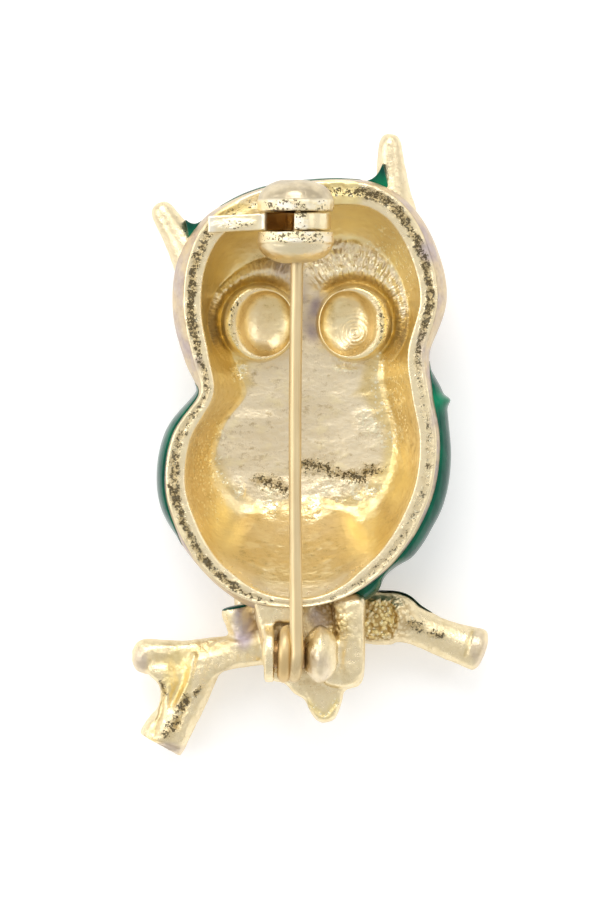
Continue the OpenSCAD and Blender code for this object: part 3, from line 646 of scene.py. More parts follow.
eyes = {
    "gap": 7.0, "y": 9.1, "shift": 0.4, "foot": 2.0, "tall": 2.4, "tilt": 0.17, "sides": 120, "rows": 96,
    "cup": [(0, 2.9, 2.96, 0), (0.05, 2.88, 2.94, 0.01), (0.22, 2.83, 2.9, 0.03), (0.45, 2.76, 2.84, 0.06),
            (0.68, 2.7, 2.79, 0.1), (0.86, 2.62, 2.74, 0.14), (0.97, 2.48, 2.64, 0.2), (1, 2.3, 2.5, 0.32),
            (0.985, 2.12, 2.4, 0.45), (0.9, 1.99, 2.32, 0.55), (0.78, 1.88, 2.22, 0.6),
            (0.64, 1.68, 2.0, 0.64), (0.53, 1.36, 1.62, 0.66), (0.46, 1.0, 1.2, 0.66),
            (0.43, 0.6, 0.7, 0.66), (0.42, 0.02, 0.02, 0.66)],
    "rings": ((3.3, 8.35), 0.27, 0.02), "wobble": ((0.9, 21), (0.9, 22), (0.7, 23)), "trench": 2.95,
    "browHigh": 0.6, "Left": [3.7, 3.8, 3.9, 4.5, 5.1, 4.8], "Right": [3.9, 4.2, 5.0, 5.9, 6.0, 5.2],
}
eyeX = middle[0] + eyes["shift"]
eyePlaces = {"Left": (eyeX - eyes["gap"] / 2, -1), "Right": (eyeX + eyes["gap"] / 2, 1)}

# Patches of the hollow's floor, each a middle and half its width and height, and lines through corners
# Spark, dots and glow are painted highlights; brown deepens the painted shade of the hollow and pale
# lightens it
floorMarks = {
    "satin": [((-0.8, 0.4), (6.1, 4.75)), ((-0.1, 6.2), (4.3, 3.2)), ((0.1, 10.5), (1.3, 3.4))],
    "streak": [[(-0.7, -1.45), (0.6, -1.1), (1.5, -1.65), (2.6, -2.2), (3.7, -2.1), (4.8, -1.65)],
               [(-3.5, -2.55), (-1.8, -3.1)]],
    "spark": [((2.6, -3.2), (2.9, 0.9)), ((-2.7, -3.9), (0.8, 1.1)), ((0.3, -4.5), (0.8, 0.9)),
              ((-5.2, -3.0), (0.5, 0.9)), ((4.1, 1.9), (0.9, 1.1)), ((2.7, 6.1), (1.2, 0.6)),
              ((-5.1, 5.4), (0.7, 0.8))],
    "dots": [((5.8, 3.6), (1.1, 3.4)), ((6.3, 13.6), (1.8, 2.4)), ((-7.4, -1.5), (1.1, 3.4))],
    "brown": [((5.4, 15.2), (2.3, 1.8)), ((-5.0, 14.6), (1.8, 1.2)), ((0.8, -9.3), (3.6, 0.8)),
              ((5.9, 0.6), (0.7, 2.6))],
    "glow": [((-5.1, 17.0), (1.7, 1.0)), ((2.2, 17.6), (1.2, 1.5)), ((-6.3, -5.9), (1.4, 1.9)),
             ((3.9, -6.2), (1.5, 1.8)), ((6.2, -1.7), (0.9, 2.4)), ((-6.9, 10.6), (2.4, 6.6)),
             ((7.2, 10.6), (2.2, 6.4)), ((-4.6, 15.9), (1.8, 0.7)), ((0, 16.2), (7, 1.6))],
    "pale": [((-0.7, -6.0), (3.4, 0.9)), ((-5.5, -4.3), (1.2, 1.0))],
    "stain": [[(-2.2, 13.1), (-1.5, 12.5), (-1.0, 11.0)], [(0.1, 10.6), (0.15, 8.2)]],
}


# Bell curve of the distance to the nearest line of a kind
def lines(x, y, kind, wide):
    return bell(np.min([nearLine(x, y, corners) for corners in floorMarks[kind]], 0), wide)


# Place about an eye: distance, turn in degrees from its outward side, the brow's pillow and the brow itself
def aboutEye(x, y, name):
    cx, side = eyePlaces[name]
    far = np.hypot(x - cx, y - eyes["y"])
    turn = np.degrees(np.arctan2(y - eyes["y"], (x - cx) * side))
    over = hump(turn, -60, -10, 118, 150)
    share = (far - eyes["trench"]) / (openRows(eyes[name], np.clip(turn / 150, 0, 1)) - eyes["trench"])
    return far, turn, over * hump(share, -0.1, 0.35, 0.45, 1.2), over * hump(share, 0, 0.2, 0.9, 1.1)


# Relief of the hollow's floor: pillows of the brows round the eye cups, crumpled bright spots, low waves
def floorRelief(p):
    x, y = np.moveaxis(p, -1, 0)
    flat = lifted(p, 0)
    total = 0.05 * grain(flat, 0.6, 5) * patches(x, y, floorMarks["spark"])
    for name in eyePlaces:
        far, _, pillow, _ = aboutEye(x, y, name)
        total = total + eyes["browHigh"] * pillow * (1 + 0.25 * bell(far - 3.6, 0.5))
    shelf = hump(y, -2.0, -3.9, -3.7, -6.6) * hump(x, -3.8, -1.0, 4.2, 6.0)
    total = total + 0.16 * shelf * (1 + grain(flat, 1.1, 10))
    total = total - lines(x, y, "streak", 0.3) * (0.1 + 0.1 * grain(flat, 0.3, 7))
    return total + 0.1 * grain(flat * [0.5, 1, 1], 1.7, 8) + 0.045 * grain(flat * [0.45, 1, 1], 0.7, 9)


# Plain front relief: rows of round feathers on the belly and two shallow discs with rays round the eyes
feathers = {"pitch": 1.7, "from": -12, "high": 0.22, "at": (-0.6, -1.2), "half": (5.6, 6.2), "disc": 0.18,
            "ray": 0.05, "rays": 26, "ring": (2.4, 2.7, 2.9, 3.3)}


# A feather rises up its row less the square of the way to its side. Rays are a cosine of the turn
def frontRelief(p):
    x, y = np.moveaxis(p, -1, 0)
    pitch = feathers["pitch"]
    row, up = np.divmod(y - feathers["from"], pitch)
    across = (x + pitch / 2 * (row % 2)) % pitch - pitch / 2
    total = feathers["high"] * np.clip(up / pitch - 0.35 * (across / (pitch / 2)) ** 2, 0, 1)
    total = total * patch(x, y, feathers["at"], feathers["half"], 0.2)
    for cx, _ in eyePlaces.values():
        far, turn = np.hypot(x - cx, y - eyes["y"]), np.arctan2(y - eyes["y"], x - cx)
        high = feathers["disc"] + feathers["ray"] * np.cos(turn * feathers["rays"])
        total = total + high * hump(far, *feathers["ring"])
    return total


# Shell: up the front, up the side, over the rim, down the wall and over the floor, at every turn
def owlShell():
    turn = np.arange(owl["columns"]) * 360 / owl["columns"]
    rows = roundRows(owl["outline"], turn)
    grids, bands = [], []

    # Keeps a grid of points with the marks given for it
    def keep(points, **given):
        grids.append(points)
        bands.append({k: np.broadcast_to(v, points.shape[:2]) for k, v in given.items()})

    # Rings from the middle to a line, one at each share of the way
    def spread(line, shares):
        return middle + shares[:, None, None] * (line - middle)

    p = spread(sidePoint(turn, np.ones_like(turn))[:, :2], np.linspace(0.02, 0.985, owl["frontRows"]))
    keep(lifted(p, owl["rim"] - frontDepth(p) - frontRelief(p)), deep=0.15)
    # The outer side is painted darker as shade: deep gold, and the stain colour over it
    keep(sidePoint(turn, np.linspace(1, 0, owl["sideRows"])[:, None] + 0 * turn), deep=0.9, stain=0.75)
    across, high = np.array(owl["rimProfile"]).T[..., None]
    rimWide = owl["rimWidth"] * rows[:, 3]
    p = edgeAt(turn, -across * rimWide)
    rough = np.exp(-((across - 0.42 + 0.1 * grain(lifted(p, 0), 0.45, 13)) / 0.24) ** 4) * rows[:, 4]
    points = lifted(p, owl["rim"] + high * (0.35 + 0.65 * rows[:, 4]))
    z = points[..., 2] + rough * 0.05 * grain(points, 0.2, 11) + 0.012 * grain(points, 0.5, 12)
    keep(lifted(p, z), grit=rough, deep=0.02)
    t = np.linspace(0, 1, owl["wallRows"])[:, None]
    curved, straight = (openRows(owl[k], t) for k in ("hollow", "straight"))
    inset, drop = np.moveaxis(curved + ease(1.1, 1.9, rows[:, 2:3]) * (straight - curved), -1, 0)
    p = pulled(edgeAt(turn, -rimWide), owl["hollowRun"] * rows[:, 2] * inset)
    z = owl["rim"] - drop * (frontDepth(p) - owl["wall"]) + floorRelief(p) * ease(0.35, 1, t)
    # Wall and floor of the hollow: deep gold painted as shade, more of it further down
    keep(lifted(p, z), deep=ease(0.05, 0.3, t), inside=1, wall=1)
    p = spread(p[-1], np.linspace(1, 0.015, owl["floorRows"] + 1)[1:])
    keep(lifted(p, owl["rim"] - frontDepth(p) + owl["wall"] + floorRelief(p)), deep=1.0, inside=1)
    points = np.concatenate(grids)
    marks = {k: np.concatenate([b.get(k, np.zeros(g.shape[:2])) for b, g in zip(bands, grids)])
             for k in ("grit", "deep", "stain", "inside", "wall")}
    inside, wall = marks.pop("inside"), marks.pop("wall")
    x, y = (points[..., k] + 0.4 * grain(points, 1.3, 14 + k) for k in (0, 1))

    # Patches of a kind on the inside
    def spots(kind, soft=0.35):
        return inside * patches(x, y, floorMarks[kind], soft)

    # Raises a mark to a value where it is lower
    def lift(name, value):
        marks[name] = np.maximum(marks[name], value)

    left, right = (aboutEye(points[..., 0], points[..., 1], name) for name in eyePlaces)
    marks["satin"] = spots("satin", 0.09) * (1 - 0.8 * wall)
    marks["ray"] = np.radians(np.where(left[0] < right[0], left[1], right[1])) * 4.0
    marks["reach"] = np.minimum(left[0], right[0])
    marks["fold"] = inside * np.maximum(right[3], 0.6 * left[3])
    lift("satin", inside * np.maximum(right[3], 0.8 * left[3]))
    # Painted highlights: sparkles, glowing patches and dots; the brown and pale patches deepen and lighten
    # the painted shade, which is also lighter high on the head's wall
    marks["spark"] = np.maximum(spots("spark"), inside * 0.9 * right[3])
    marks["glow"] = (1 - marks["satin"]) * spots("glow", 0.6)
    marks["dots"] = spots("dots", 0.5)
    marks["deep"] = marks["deep"] * (1 + 0.45 * spots("brown", 0.6))
    # Painted highlight on the rim: glowing patches of deeper gold
    lift("glow", (1 - inside) * patches(x, y, owl["rimGlow"]))
    lift("deep", (1 - inside) * patches(x, y, owl["rimGlow"]))
    marks["deep"] = marks["deep"] * (1 - 0.5 * spots("pale", 0.6)) * (1 - 0.3 * wall * ease(5, 8, y))
    lift("stain", 0.8 * (1 - inside) * patches(x, y, owl["rimStains"], 0.6))
    lift("stain", inside * lines(x, y, "stain", 0.6))
    lift("grit", inside * lines(x, y, "streak", 0.55) * 0.8)
    return skin(points), onSkin(marks)


putCast("owlShell", *owlShell())


# Eye cup: ellipses stacked from the foot up the wall, over the lip and down into the dish, each with its
# height, its two halves and its shift to the middle. The whole is higher on its outward side
def eyeCup(place, side):
    share = np.linspace(0, 1, eyes["rows"])
    high, halfX, halfY, shift = openRows(eyes["cup"], share).T[..., None]
    a = around(eyes["sides"])
    x = place - side * shift + halfX * np.cos(a)
    y = eyes["y"] + halfY * np.sin(a) - 0.1 * high
    out = side * (x - place)
    z = eyes["foot"] + eyes["tall"] * high + eyes["tilt"] * out * high
    row = share[:, None] + 0 * a
    dish = ease(0.5, 0.6, row)
    if side > 0:
        at, pitch, depth = eyes["rings"]
        far = np.hypot(x - at[0], y - at[1])
        z = z + dish * depth * np.cos(2 * pi * far / pitch) * (1 - ease(0.9, 1.7, far))
    points = np.stack([x, y, z], -1)
    points = points + 0.035 * np.stack([grain(points, size, seed) for size, seed in eyes["wobble"]], -1)
    # Painted shade: deep gold on the wall below the lip and in the dish, darker towards the dish's top and
    # inner side, away from the light. Painted glow on the lip and painted glints on its outward side
    shade = np.clip(0.42 + 0.5 * (y - eyes["y"]) / 2.3 - 0.125 * out, 0, 1)
    return skin(points), onSkin({
        "deep": 0.45 * (1 - ease(0.3, 0.42, row)) + dish * shade,
        "glow": 0.6 * bell(row - 0.43, 0.05) + 0.35 * bell(row - 0.24, 0.1),
        "spark": 0.5 * bell(row - 0.42, 0.06) * ease(0, 1, out),
        "grit": 0.7 * bell(row - 0.47, 0.06) * ease(0.8, 2.2, out)})


for name, place in eyePlaces.items():
    putCast("eyeCup" + name, *eyeCup(*place), sharp=70)

# Ears: a cone with a round tip that flares out where it leaves the head
ears = {
    "level": 4.8, "steps": 44, "sides": 48, "marks": {"deep": 0.12, "grit": 0.12, "stain": 0.1},
    "Left": {"turn": 143, "way": 122.5, "length": 5.1, "thick": 1.27, "web": 1.1},
    "Right": {"turn": 52.3, "way": 92.5, "length": 5.2, "thick": 1.24, "web": 0.6},
    "rows": [(-0.08, 1.35), (0.02, 1.25), (0.12, 1.14), (0.24, 1.03), (0.36, 0.94), (0.5, 0.86),
             (0.65, 0.78), (0.78, 0.7), (0.88, 0.63), (0.95, 0.5), (0.985, 0.33), (1, 0.1)],
}


# Foot of an ear on the rim, and the ways along and across the ear
def earFoot(ear):
    a = math.radians(ear["way"])
    foot = edgeAt(np.array(float(ear["turn"])), -0.5)
    return foot, np.array([math.cos(a), math.sin(a)]), np.array([-math.sin(a), math.cos(a)])


# A tube along the ear's way, its girth from the rows, made rough by two layers of noise
def earPart(ear):
    foot, along, _ = earFoot(ear)
    rows = openRows(ears["rows"], np.linspace(0, 1, ears["steps"]))
    away, half = rows.T * [[ear["length"]], [ear["thick"]]]
    part = tube(lifted(foot + away[:, None] * along, ears["level"]), half, half, ears["sides"])
    roughen(part, (0.05, 1.1, 31), (0.015, 0.35, 32))
    return part


for name in eyePlaces:
    putCast("ear" + name, earPart(ears[name]), ears["marks"], sharp=70)

# Branch: rows of sideways place as a share of half the span, height as a share of the branch's, and girth
branch = {
    "half": 12.95, "tall": 11.0, "top": -11.3, "level": 2.8, "thick": 1.5, "flat": 0.92, "voxel": 0.096,
    "rounds": 5,
    "right": [(0.19, -0.13, 1.2), (0.31, -0.1, 1.28), (0.41, -0.105, 1.32), (0.5, -0.11, 1.26),
              (0.585, -0.15, 0.98), (0.703, -0.215, 0.9), (0.838, -0.275, 0.95), (0.93, -0.31, 1.02),
              (0.955, -0.319, 1.0), (0.972, -0.3255, 0.86), (0.985, -0.3305, 0.58), (0.99, -0.3325, 0.2)],
    "left": [(-0.19, -0.27, 1), (-0.289, -0.285, 1), (-0.412, -0.325, 0.84), (-0.53, -0.35, 0.88),
             (-0.63, -0.38, 0.98), (-0.74, -0.375, 0.88), (-0.85, -0.36, 0.83), (-0.93, -0.36, 0.84),
             (-0.975, -0.36, 0.66), (-0.998, -0.36, 0.3)],
    "fork": [(-0.565, -0.345, 0.86), (-0.635, -0.48, 1.02), (-0.69, -0.63, 1.02), (-0.755, -0.775, 1.05),
             (-0.815, -0.89, 1.17), (-0.842, -0.945, 1.12)],
    "knob": [(-0.35, -0.3, 0.8), (-0.38, -0.17, 0.72), (-0.4, -0.07, 0.8), (-0.407, -0.03, 0.74)],
    "channels": [([(-9.6, -16.0), (-9.3, -17.2), (-9.9, -18.6)], 0.55, 0.4),
                 ([(-11.0, -15.5), (-9.4, -15.3), (-7.6, -14.7), (-6.2, -14.2)], 0.6, 0.28),
                 ([(-10.6, -17.7), (-10.9, -19.4), (-11.3, -20.8)], 0.35, 0.3),
                 ([(-8.9, -18.4), (-9.6, -20.2)], 0.3, 0.25),
                 ([(-0.1, -18.6), (0.85, -19.45), (1.25, -19.45), (1.95, -18.5)], 0.2, 0.24),
                 ([(11.9, -13.3), (11.3, -15.2)], 0.14, 0.14),
                 ([(-12.0, -21.1), (-9.6, -21.9)], 0.14, 0.14)],
    "ridges": [([(-8.4, -15.2), (-8.7, -16.8), (-9.6, -18.7)], 0.22, 0.22),
               ([(-10.2, -17.4), (-10.5, -19.2), (-11.0, -20.8)], 0.2, 0.16)],
    "tailEdge": [(-0.1, -18.6), (0.85, -19.5), (1.3, -19.5), (1.95, -18.5)],
    "recess": [(4.1, -11.6), (4.3, -13.6), (5.4, -13.5), (5.6, -11.9), (4.1, -11.6)], "recessWide": 0.72,
    "recessFloor": 3.9,
    "web": [(-11.6, -14.75), (-8.7, -14.75), (-6.1, -14.0), (-4.0, -14.2), (-3.5, -15.5), (-5.3, -15.75),
            (-6.9, -16.9), (-7.95, -18.4), (-8.7, -20.0), (-9.5, -21.9), (-11.6, -21.1), (-11.2, -19.5),
            (-10.85, -18.15), (-11.07, -17.2), (-11.9, -16.2)],
    "flecks": [([(-10.8, -17.2), (-10.5, -17.8)], 0.28), ([(-8.9, -18.3), (-9.4, -19.0)], 0.4),
               ([(-9.7, -20.0), (-10.3, -20.9)], 0.45), ([(-8.0, -17.6), (-8.3, -18.0)], 0.25),
               ([(7.4, -12.8), (8.1, -13.2)], 0.4), ([(8.9, -13.6), (9.6, -13.7)], 0.3)],
    "stains": [((-4.8, -13.0), (0.8, 1.7), 0.9, -1), ((0.9, -12.3), (1.0, 0.9), 0.7, 4),
               ((-12.3, -15.6), (0.5, 0.9), 0.5, -1), ((-10.8, -22.0), (1.6, 0.5), 0.6, -1),
               ((12.3, -14.7), (0.6, 1.4), 0.4, -1), ((0.6, -16.0), (0.9, 1.4), 0.35, 7)],
}


# Middle line and half thickness of a twig: the cubic through its rows, stretched to size
def twigPath(rows, count):
    across, down, girth = openRows(rows, np.linspace(0, 1, count)).T
    plan = np.stack([branch["half"] * across, branch["top"] + branch["tall"] * down], -1)
    return lifted(plan, branch["level"]), branch["thick"] * girth


# An elliptic tube along that line
def twig(rows):
    path, half = twigPath(rows, 40)
    return tube(path, half, half * branch["flat"], 32)


# Feet: a leg down from the belly and three toes over the front of the branch, all round-ended tubes
feet = {"at": (-0.6, 2.955), "y": -10.35, "leg": 1.4, "legLevel": 1.8, "legRun": (1.9, 0.3), "toe": 0.7,
        "toeLength": 2.9, "pitch": 1.26}


# A tube with round ends: rings out by the cosine of a bend, with its sine as radius
def roundEnded(a, b, radius):
    a, b = np.asarray(a, float), np.asarray(b, float)
    way = (b - a) / np.linalg.norm(b - a)
    bend = np.linspace(0.12, pi / 2, 6)
    cap, half = way * radius * np.cos(bend)[:, None], radius * np.sin(bend)
    path, half = np.concatenate([a - cap, (b + cap)[::-1]]), np.concatenate([half, half[::-1]])
    return tube(path, half, half, 20, (1, 0, 0) if abs(way[0]) < 0.5 else (0, 0, 1))


# Three toes side by side over the branch and a leg that leans up
def footParts(side):
    x, y = feet["at"][0] + side * feet["at"][1], feet["y"]
    low, high = feet["toe"], feet["legLevel"]
    toes = [roundEnded((at, y, low), (at, y - feet["toeLength"], low), low)
            for at in (x - feet["pitch"], x, x + feet["pitch"])]
    run, rise = feet["legRun"]
    return toes + [roundEnded((x, y, high), (x, y + run, high + rise), feet["leg"])]


# Bracket: a base down to the tail, a plate, a wall up to the rim and its slope, and the left lug's seat.
# Each slab has its top, its edge, the point that it narrows to and how many points smooth its outline
bracket = {
    "low": 2.8, "lugRadius": 2.05, "lugThick": 0.7, "lugLeft": -3.28, "lugFoot": (4.6, 1.75, 3.3),
    "lugMiddle": 5.5,
    "slabs": [
        (6.05, 0.7, (0.3, -15.0), 120,
         [(-4.13, -11.05), (-3.9, -12.6), (-3.45, -14.4), (-3.25, -15.6), (-2.95, -16.7), (-2.5, -17.05),
          (-1.8, -17.2), (-1.1, -17.9), (-0.35, -18.4), (0.1, -19.3), (0.65, -19.95), (1.2, -20.05),
          (1.9, -19.7), (2.35, -18.5), (2.55, -17.75), (3.1, -17.5), (3.6, -17.35), (3.95, -16.7),
          (4.03, -15.0), (3.95, -13.0), (3.82, -11.3), (2.4, -11.0), (0, -10.9), (-2, -10.9)]),
        (7.75, 0.3, (-2.4, -12.4), 0,
         [(-4.1, -11.0), (-3.7, -12.6), (-3.42, -14.0), (-2.65, -14.0), (-2.55, -12.8), (-0.8, -12.8),
          (-0.8, -10.9)]),
        (7.5, 0.6, (3.15, -13.8), 80,
         [(2.5, -11.0), (2.4, -13.0), (2.3, -15.0), (2.35, -16.4), (2.9, -16.95), (3.6, -16.8), (4.0, -16.0),
          (4.0, -13.4), (3.85, -11.0)]),
        (7.42, 0.8, (2.7, -13.9), 80,
         [(1.6, -10.8), (1.75, -13.0), (1.5, -15.0), (1.0, -17.0), (2.4, -17.5), (3.7, -17.0), (4.0, -15.6),
          (4.0, -13.4), (3.85, -10.8)])],
    "granular": [(-0.1, -10.9), (0.9, -11.2), (1.6, -11.9), (2.1, -12.9)],
}


# The slabs, a turned disc as left lug and a foot of four outlines through it
def bracketParts():
    parts = [slab(closedLine(corners, count) if count else corners, bracket["low"], high, edge, about)
             for high, edge, about, count, corners in bracket["slabs"]]
    left, thick, reach = (bracket[k] for k in ("lugLeft", "lugThick", "lugRadius"))
    profile = [(0.0, reach - 0.12), (0.1, reach), (thick - 0.1, reach), (thick, reach - 0.12)]
    parts.append(turned(profile, (left, hingeY, hingeZ), (1, 0, 0), 48))
    level, wide, tall = bracket["lugFoot"]
    a = around(40)
    high = np.clip(level + tall * np.sin(a), bracket["low"], hingeZ)
    foot = np.stack([hingeY + wide * np.cos(a), high], -1)
    centre = np.array([hingeY, bracket["lugMiddle"]])
    rows = ((left, 0.93), (left + 0.12, 1), (left + thick - 0.12, 1), (left + thick, 0.93))
    parts.append(skin(np.array([np.insert(centre + (foot - centre) * s, 0, x, 1) for x, s in rows])))
    return parts


# Domed right lug: a disc that thins to an edge all round, like a lens, on a narrow foot
lens = {"from": 0.53, "thick": 2.35, "radius": 2.17, "end": 1.05, "sides": 72, "foot": (0.45, 1.5, 3.2, 0.2)}


# The radius falls by powers of the way from the middle to either face
def lensParts():
    t = np.linspace(-1, 1, 25)
    radius = lens["end"] + (lens["radius"] - lens["end"]) * (1 - np.abs(t) ** 1.5) ** 0.85
    x = hingeX + lens["from"] + lens["thick"] / 2
    profile = np.stack([t * lens["thick"] / 2, radius], -1)
    wide, deep, low, gap = lens["foot"]
    return [turned(profile, (x, hingeY, hingeZ), (1, 0, 0), lens["sides"]),
            slab(oblong(x - wide, hingeY - deep, x + wide, hingeY + deep), low, hingeZ - gap, 0.1)]


# Marks the back of the branch with channels, ridges and a grained recess, and gives its points their marks
def branchPart():
    parts = [twig(branch[k]) for k in ("right", "left", "fork", "knob")]
    parts.append(slab(closedLine(branch["web"], 90), 1.7, 4.0, 0.6, (-8.4, -16.6)))
    parts += footParts(-1) + footParts(1) + bracketParts() + lensParts()
    part = castTogether(parts, branch["voxel"], branch["rounds"])
    v, n = part["verts"], facing(part)
    x, y, z = v.T
    up = ease(0.2, 0.75, n[:, 2]) * (z < 6.2) * ease(2.3, 3.2, z)
    shift = np.zeros(len(v))
    # Deep gold as painted shade in the channels, and below in the recesses, the web, along the tail and on
    # faces turned from above
    deep = 0.16 + 0.16 * grain(v, 1.4, 45)
    for line, wide, depth in branch["channels"]:
        bite = bell(nearLine(x, y, line), wide) * up
        shift -= depth * bite
        deep = np.maximum(deep, 0.8 * bite)
    for line, wide, high in branch["ridges"]:
        shift += high * bell(nearLine(x, y, line), wide) * up
    far = nearLine(x, y, branch["recess"]) * (1 - patch(x, y, (4.85, -12.7), (0.8, 1.0), 0.2))
    hole = (1 - ease(0.35, 1.45, (far + 0.22 * grain(v, 0.9, 47)) / branch["recessWide"])) * up
    shift -= 0.25 * hole
    granular = bell(nearLine(x, y, bracket["granular"]), 0.85) * ease(3.5, 5, z) * (z < 7.6)
    # Lumps: bumps, and painted shade between the crumbs
    lumps = np.clip(1.4 * hole + granular + 0.6 * patch(x, y, (6.4, -12.4), (1.1, 1.8)) * up, 0, 1)
    grit = np.max([0.9 * bell(nearLine(x, y, line), wide) * up for line, wide in branch["flecks"]], 0)
    stain = sum(much * patch(x, y, at, half) * (z > above) for at, half, much, above in branch["stains"])
    # Painted glow in the recesses and along the tail, with painted glints
    glow = np.clip(0.9 * granular + 0.95 * hole, 0, 1) * ease(0.35, 0.65, 0.5 + 0.5 * grain(v, 0.5, 44))
    tail = bell(nearLine(x, y, branch["tailEdge"]), 0.28) * up
    web = patch(x, y, (-9.6, -16.6), (1.0, 1.9)) * up
    # Faces turned away from above are painted darker as shade
    side = 1 - ease(-0.2, 0.6, n[:, 2])
    deep = np.max([deep, np.clip(hole + granular, 0, 1), 0.9 * web, 0.8 * tail, 0.35 * side], 0)
    rough = 0.035 * grain(v, 0.9, 41) + 0.02 * grain(v, 0.33, 42) + lumps * 0.07 * grain(v, 0.3, 43)
    part["verts"] = v + n * rough[:, None] + np.array([0, 0, 1.0]) * shift[:, None]
    z = part["verts"][:, 2]
    z = z + hole * (np.minimum(z, branch["recessFloor"] + 0.05 * grain(v, 0.28, 46)) - z)
    part["verts"][:, 2] = np.maximum(z, 0.01)
    return part, {"grit": np.maximum(grit, 0.1), "deep": deep, "stain": np.clip(stain, 0, 1), "lumps": lumps,
                  "glow": np.max([glow, 0.6 * web, tail], 0),
                  "spark": np.clip(0.7 * tail + 0.4 * hole, 0, 1)}


putCast("branchAndBracket", *branchPart(), branchFinish)

# Catch housing: two halves of a domed barrel that opens to the right, and the feet that join them to the
# rim, each with its two ends along the pin, half its width, its foot and how far under the pin it stops
catch = {
    "radius": 2.8, "bore": 0.85, "mouth": 0.85, "room": 0.75, "end": 3.0, "band": 0.8,
    "voxel": 0.065, "rounds": 4,
    "dome": [(0, 1.0), (0.25, 0.975), (0.5, 0.9), (0.72, 0.77), (0.88, 0.6), (1, 0.4)],
    "feet": [(0.8, 2.7, 2.0, 7.0, 0.95), (-2.3, 2.7, 1.5, 6.6, 2.64)],
}


# A ring with a slot about the pin's line. Each station goes out along an arc, in over the mouth's lip and
# back round the bore, and a spine halfway between the two arcs closes the ends
def ringSolid(stations, gap, turnTo=0.0, count=64):
    rings, spines = [], []
    for y, *radii in stations:
        arcs = []
        for radius in radii:
            lip = math.asin(min(gap / radius, 0.97))
            a = np.linspace(lip, 2 * pi - lip, count) + turnTo
            arc = np.stack([radius * np.cos(a), y + 0 * a, radius * np.sin(a)], -1)
            arcs.append(arc + [catchX, catchY, pinZ])
        spine = (arcs[0] + arcs[1]) / 2
        rings.append(np.concatenate([arcs[0], arcs[1][::-1]]))
        spines.append(np.concatenate([spine, spine[::-1]]))
    return skin(np.array([spines[0], *rings, spines[-1]]), (False, False))


# Each half is a straight band and then a dome of falling radii. The marks follow the band, z and x
def housingPart():
    start, wide, radius = catch["room"], catch["band"], catch["radius"]
    barrel = [(start + t * wide, radius * (1.0 + 0.02 * t)) for t in (0, 0.5, 1)]
    run = catch["end"] - start - wide
    dome = openRows(catch["dome"], np.linspace(0.04, 1, 12))
    barrel += [(start + wide + t * run, radius * r) for t, r in dome]
    parts = [ringSolid([(way * y, r, min(catch["bore"], r * 0.84)) for y, r in barrel],
                       catch["mouth"] * 0.98) for way in (-1, 1)]
    parts += [slab(oblong(catchX - half, catchY + low, catchX + half, catchY + high), foot, pinZ - gap, 0.12)
              for low, high, half, foot, gap in catch["feet"]]
    part = castTogether(parts, catch["voxel"], catch["rounds"])
    (x, y, z), _ = (k.T for k in roughen(part, (0.03, 0.8, 51), (0.012, 0.3, 52)))
    along = np.abs(y - catchY)
    band = 1 - ease(start + wide - 0.12, start + wide + 0.12, along)
    inner = (1 - ease(8.6, 10.2, z)) * (1 - ease(2.2, 2.9, np.abs(x - catchX)))
    upper = y > catchY
    cluster = np.where(upper, strip(x, -1.7, 1.7) + 0.7 * strip(x, 0.9, 0.5),
                       0.35 + 0.65 * strip(x, -0.7, 1.8))
    # Painted shade: deep inside the barrel, and the greyish fitting colour over the domes, most on the upper
    # half
    return part, {"grit": np.clip(band * cluster * ease(9.5, 10.6, z) + 0.06, 0, 1),
                  "deep": inner * (along < 1.0), "stain": np.where(upper, 0.95, 0.3) * (1 - band)}


putCast("catchHousing", *housingPart(), fittingFinish)

# Catch rotor: a slotted disc with a flat lever to the left
rotor = {"radius": 2.5, "bore": 0.85, "half": 0.65, "slotTurn": 128, "slot": 1.36, "leverTo": -6.4,
         "leverFrom": -2.05, "leverWide": 0.6, "leverThick": 0.52, "voxel": 0.06, "rounds": 3}


# Four rings with the outer two cut back, and a slab as lever that bends a little to its end
def rotorPart():
    h, wide, thick = rotor["half"], rotor["leverWide"], rotor["leverThick"]
    to, start = rotor["leverTo"], rotor["leverFrom"]
    ring = ringSolid([(y, rotor["radius"] - cut * 0.08, rotor["bore"] + cut * 0.05)
                      for y, cut in ((-h, 1), (-h + 0.1, 0), (h - 0.1, 0), (h, 1))],
                     rotor["slot"], math.radians(rotor["slotTurn"]))
    plan = oblong(catchX + to, catchY - wide, catchX + start, catchY + wide)
    lever = slab(plan, pinZ - thick, pinZ + thick, 0.12)
    part = castTogether([ring, lever], rotor["voxel"], rotor["rounds"])
    v, n = roughen(part, (0.03, 0.7, 61), (0.012, 0.25, 62))
    x, y, z = (v - [catchX, catchY, pinZ]).T
    part["verts"][:, 1] += 0.05 * np.minimum(x + 2.2, 0)
    # Painted shade inside the slot and painted highlights at the lever's two ends
    inside = (1 - ease(2.15, 2.5, np.hypot(x, z))) * (np.abs(y) < 0.75) * (x < 0.3)
    ends = bell(x - to - 0.25, 0.3) + bell(x - start + 0.35, 0.3)
    fleck = patch(x, y, (-4.5, -0.1), (1.4, 0.35), 0.5) + strip(x, 0.3, 0.5)
    return part, {"grit": np.clip(fleck * ease(0.3, 0.8, n[:, 2]) + 0.05, 0, 1), "deep": inside,
                  "paintedShine": 0.8 * ends * (1 - inside)}


rotorSolid, rotorMarks = rotorPart()
putPiece("catchRotor", rotorSolid, "catch", fittingFinish, "catch_rotor", rotorMarks)

# Pin: one wire whose end stands by the plate, two turns round the rivet, then a slightly bowed stem
pin = {"half": 0.475, "turn": 1.575, "pitch": 0.92, "startTurn": 700, "tip": 17.8, "pointFrom": 14.3,
       "bow": -0.16, "sides": 28}


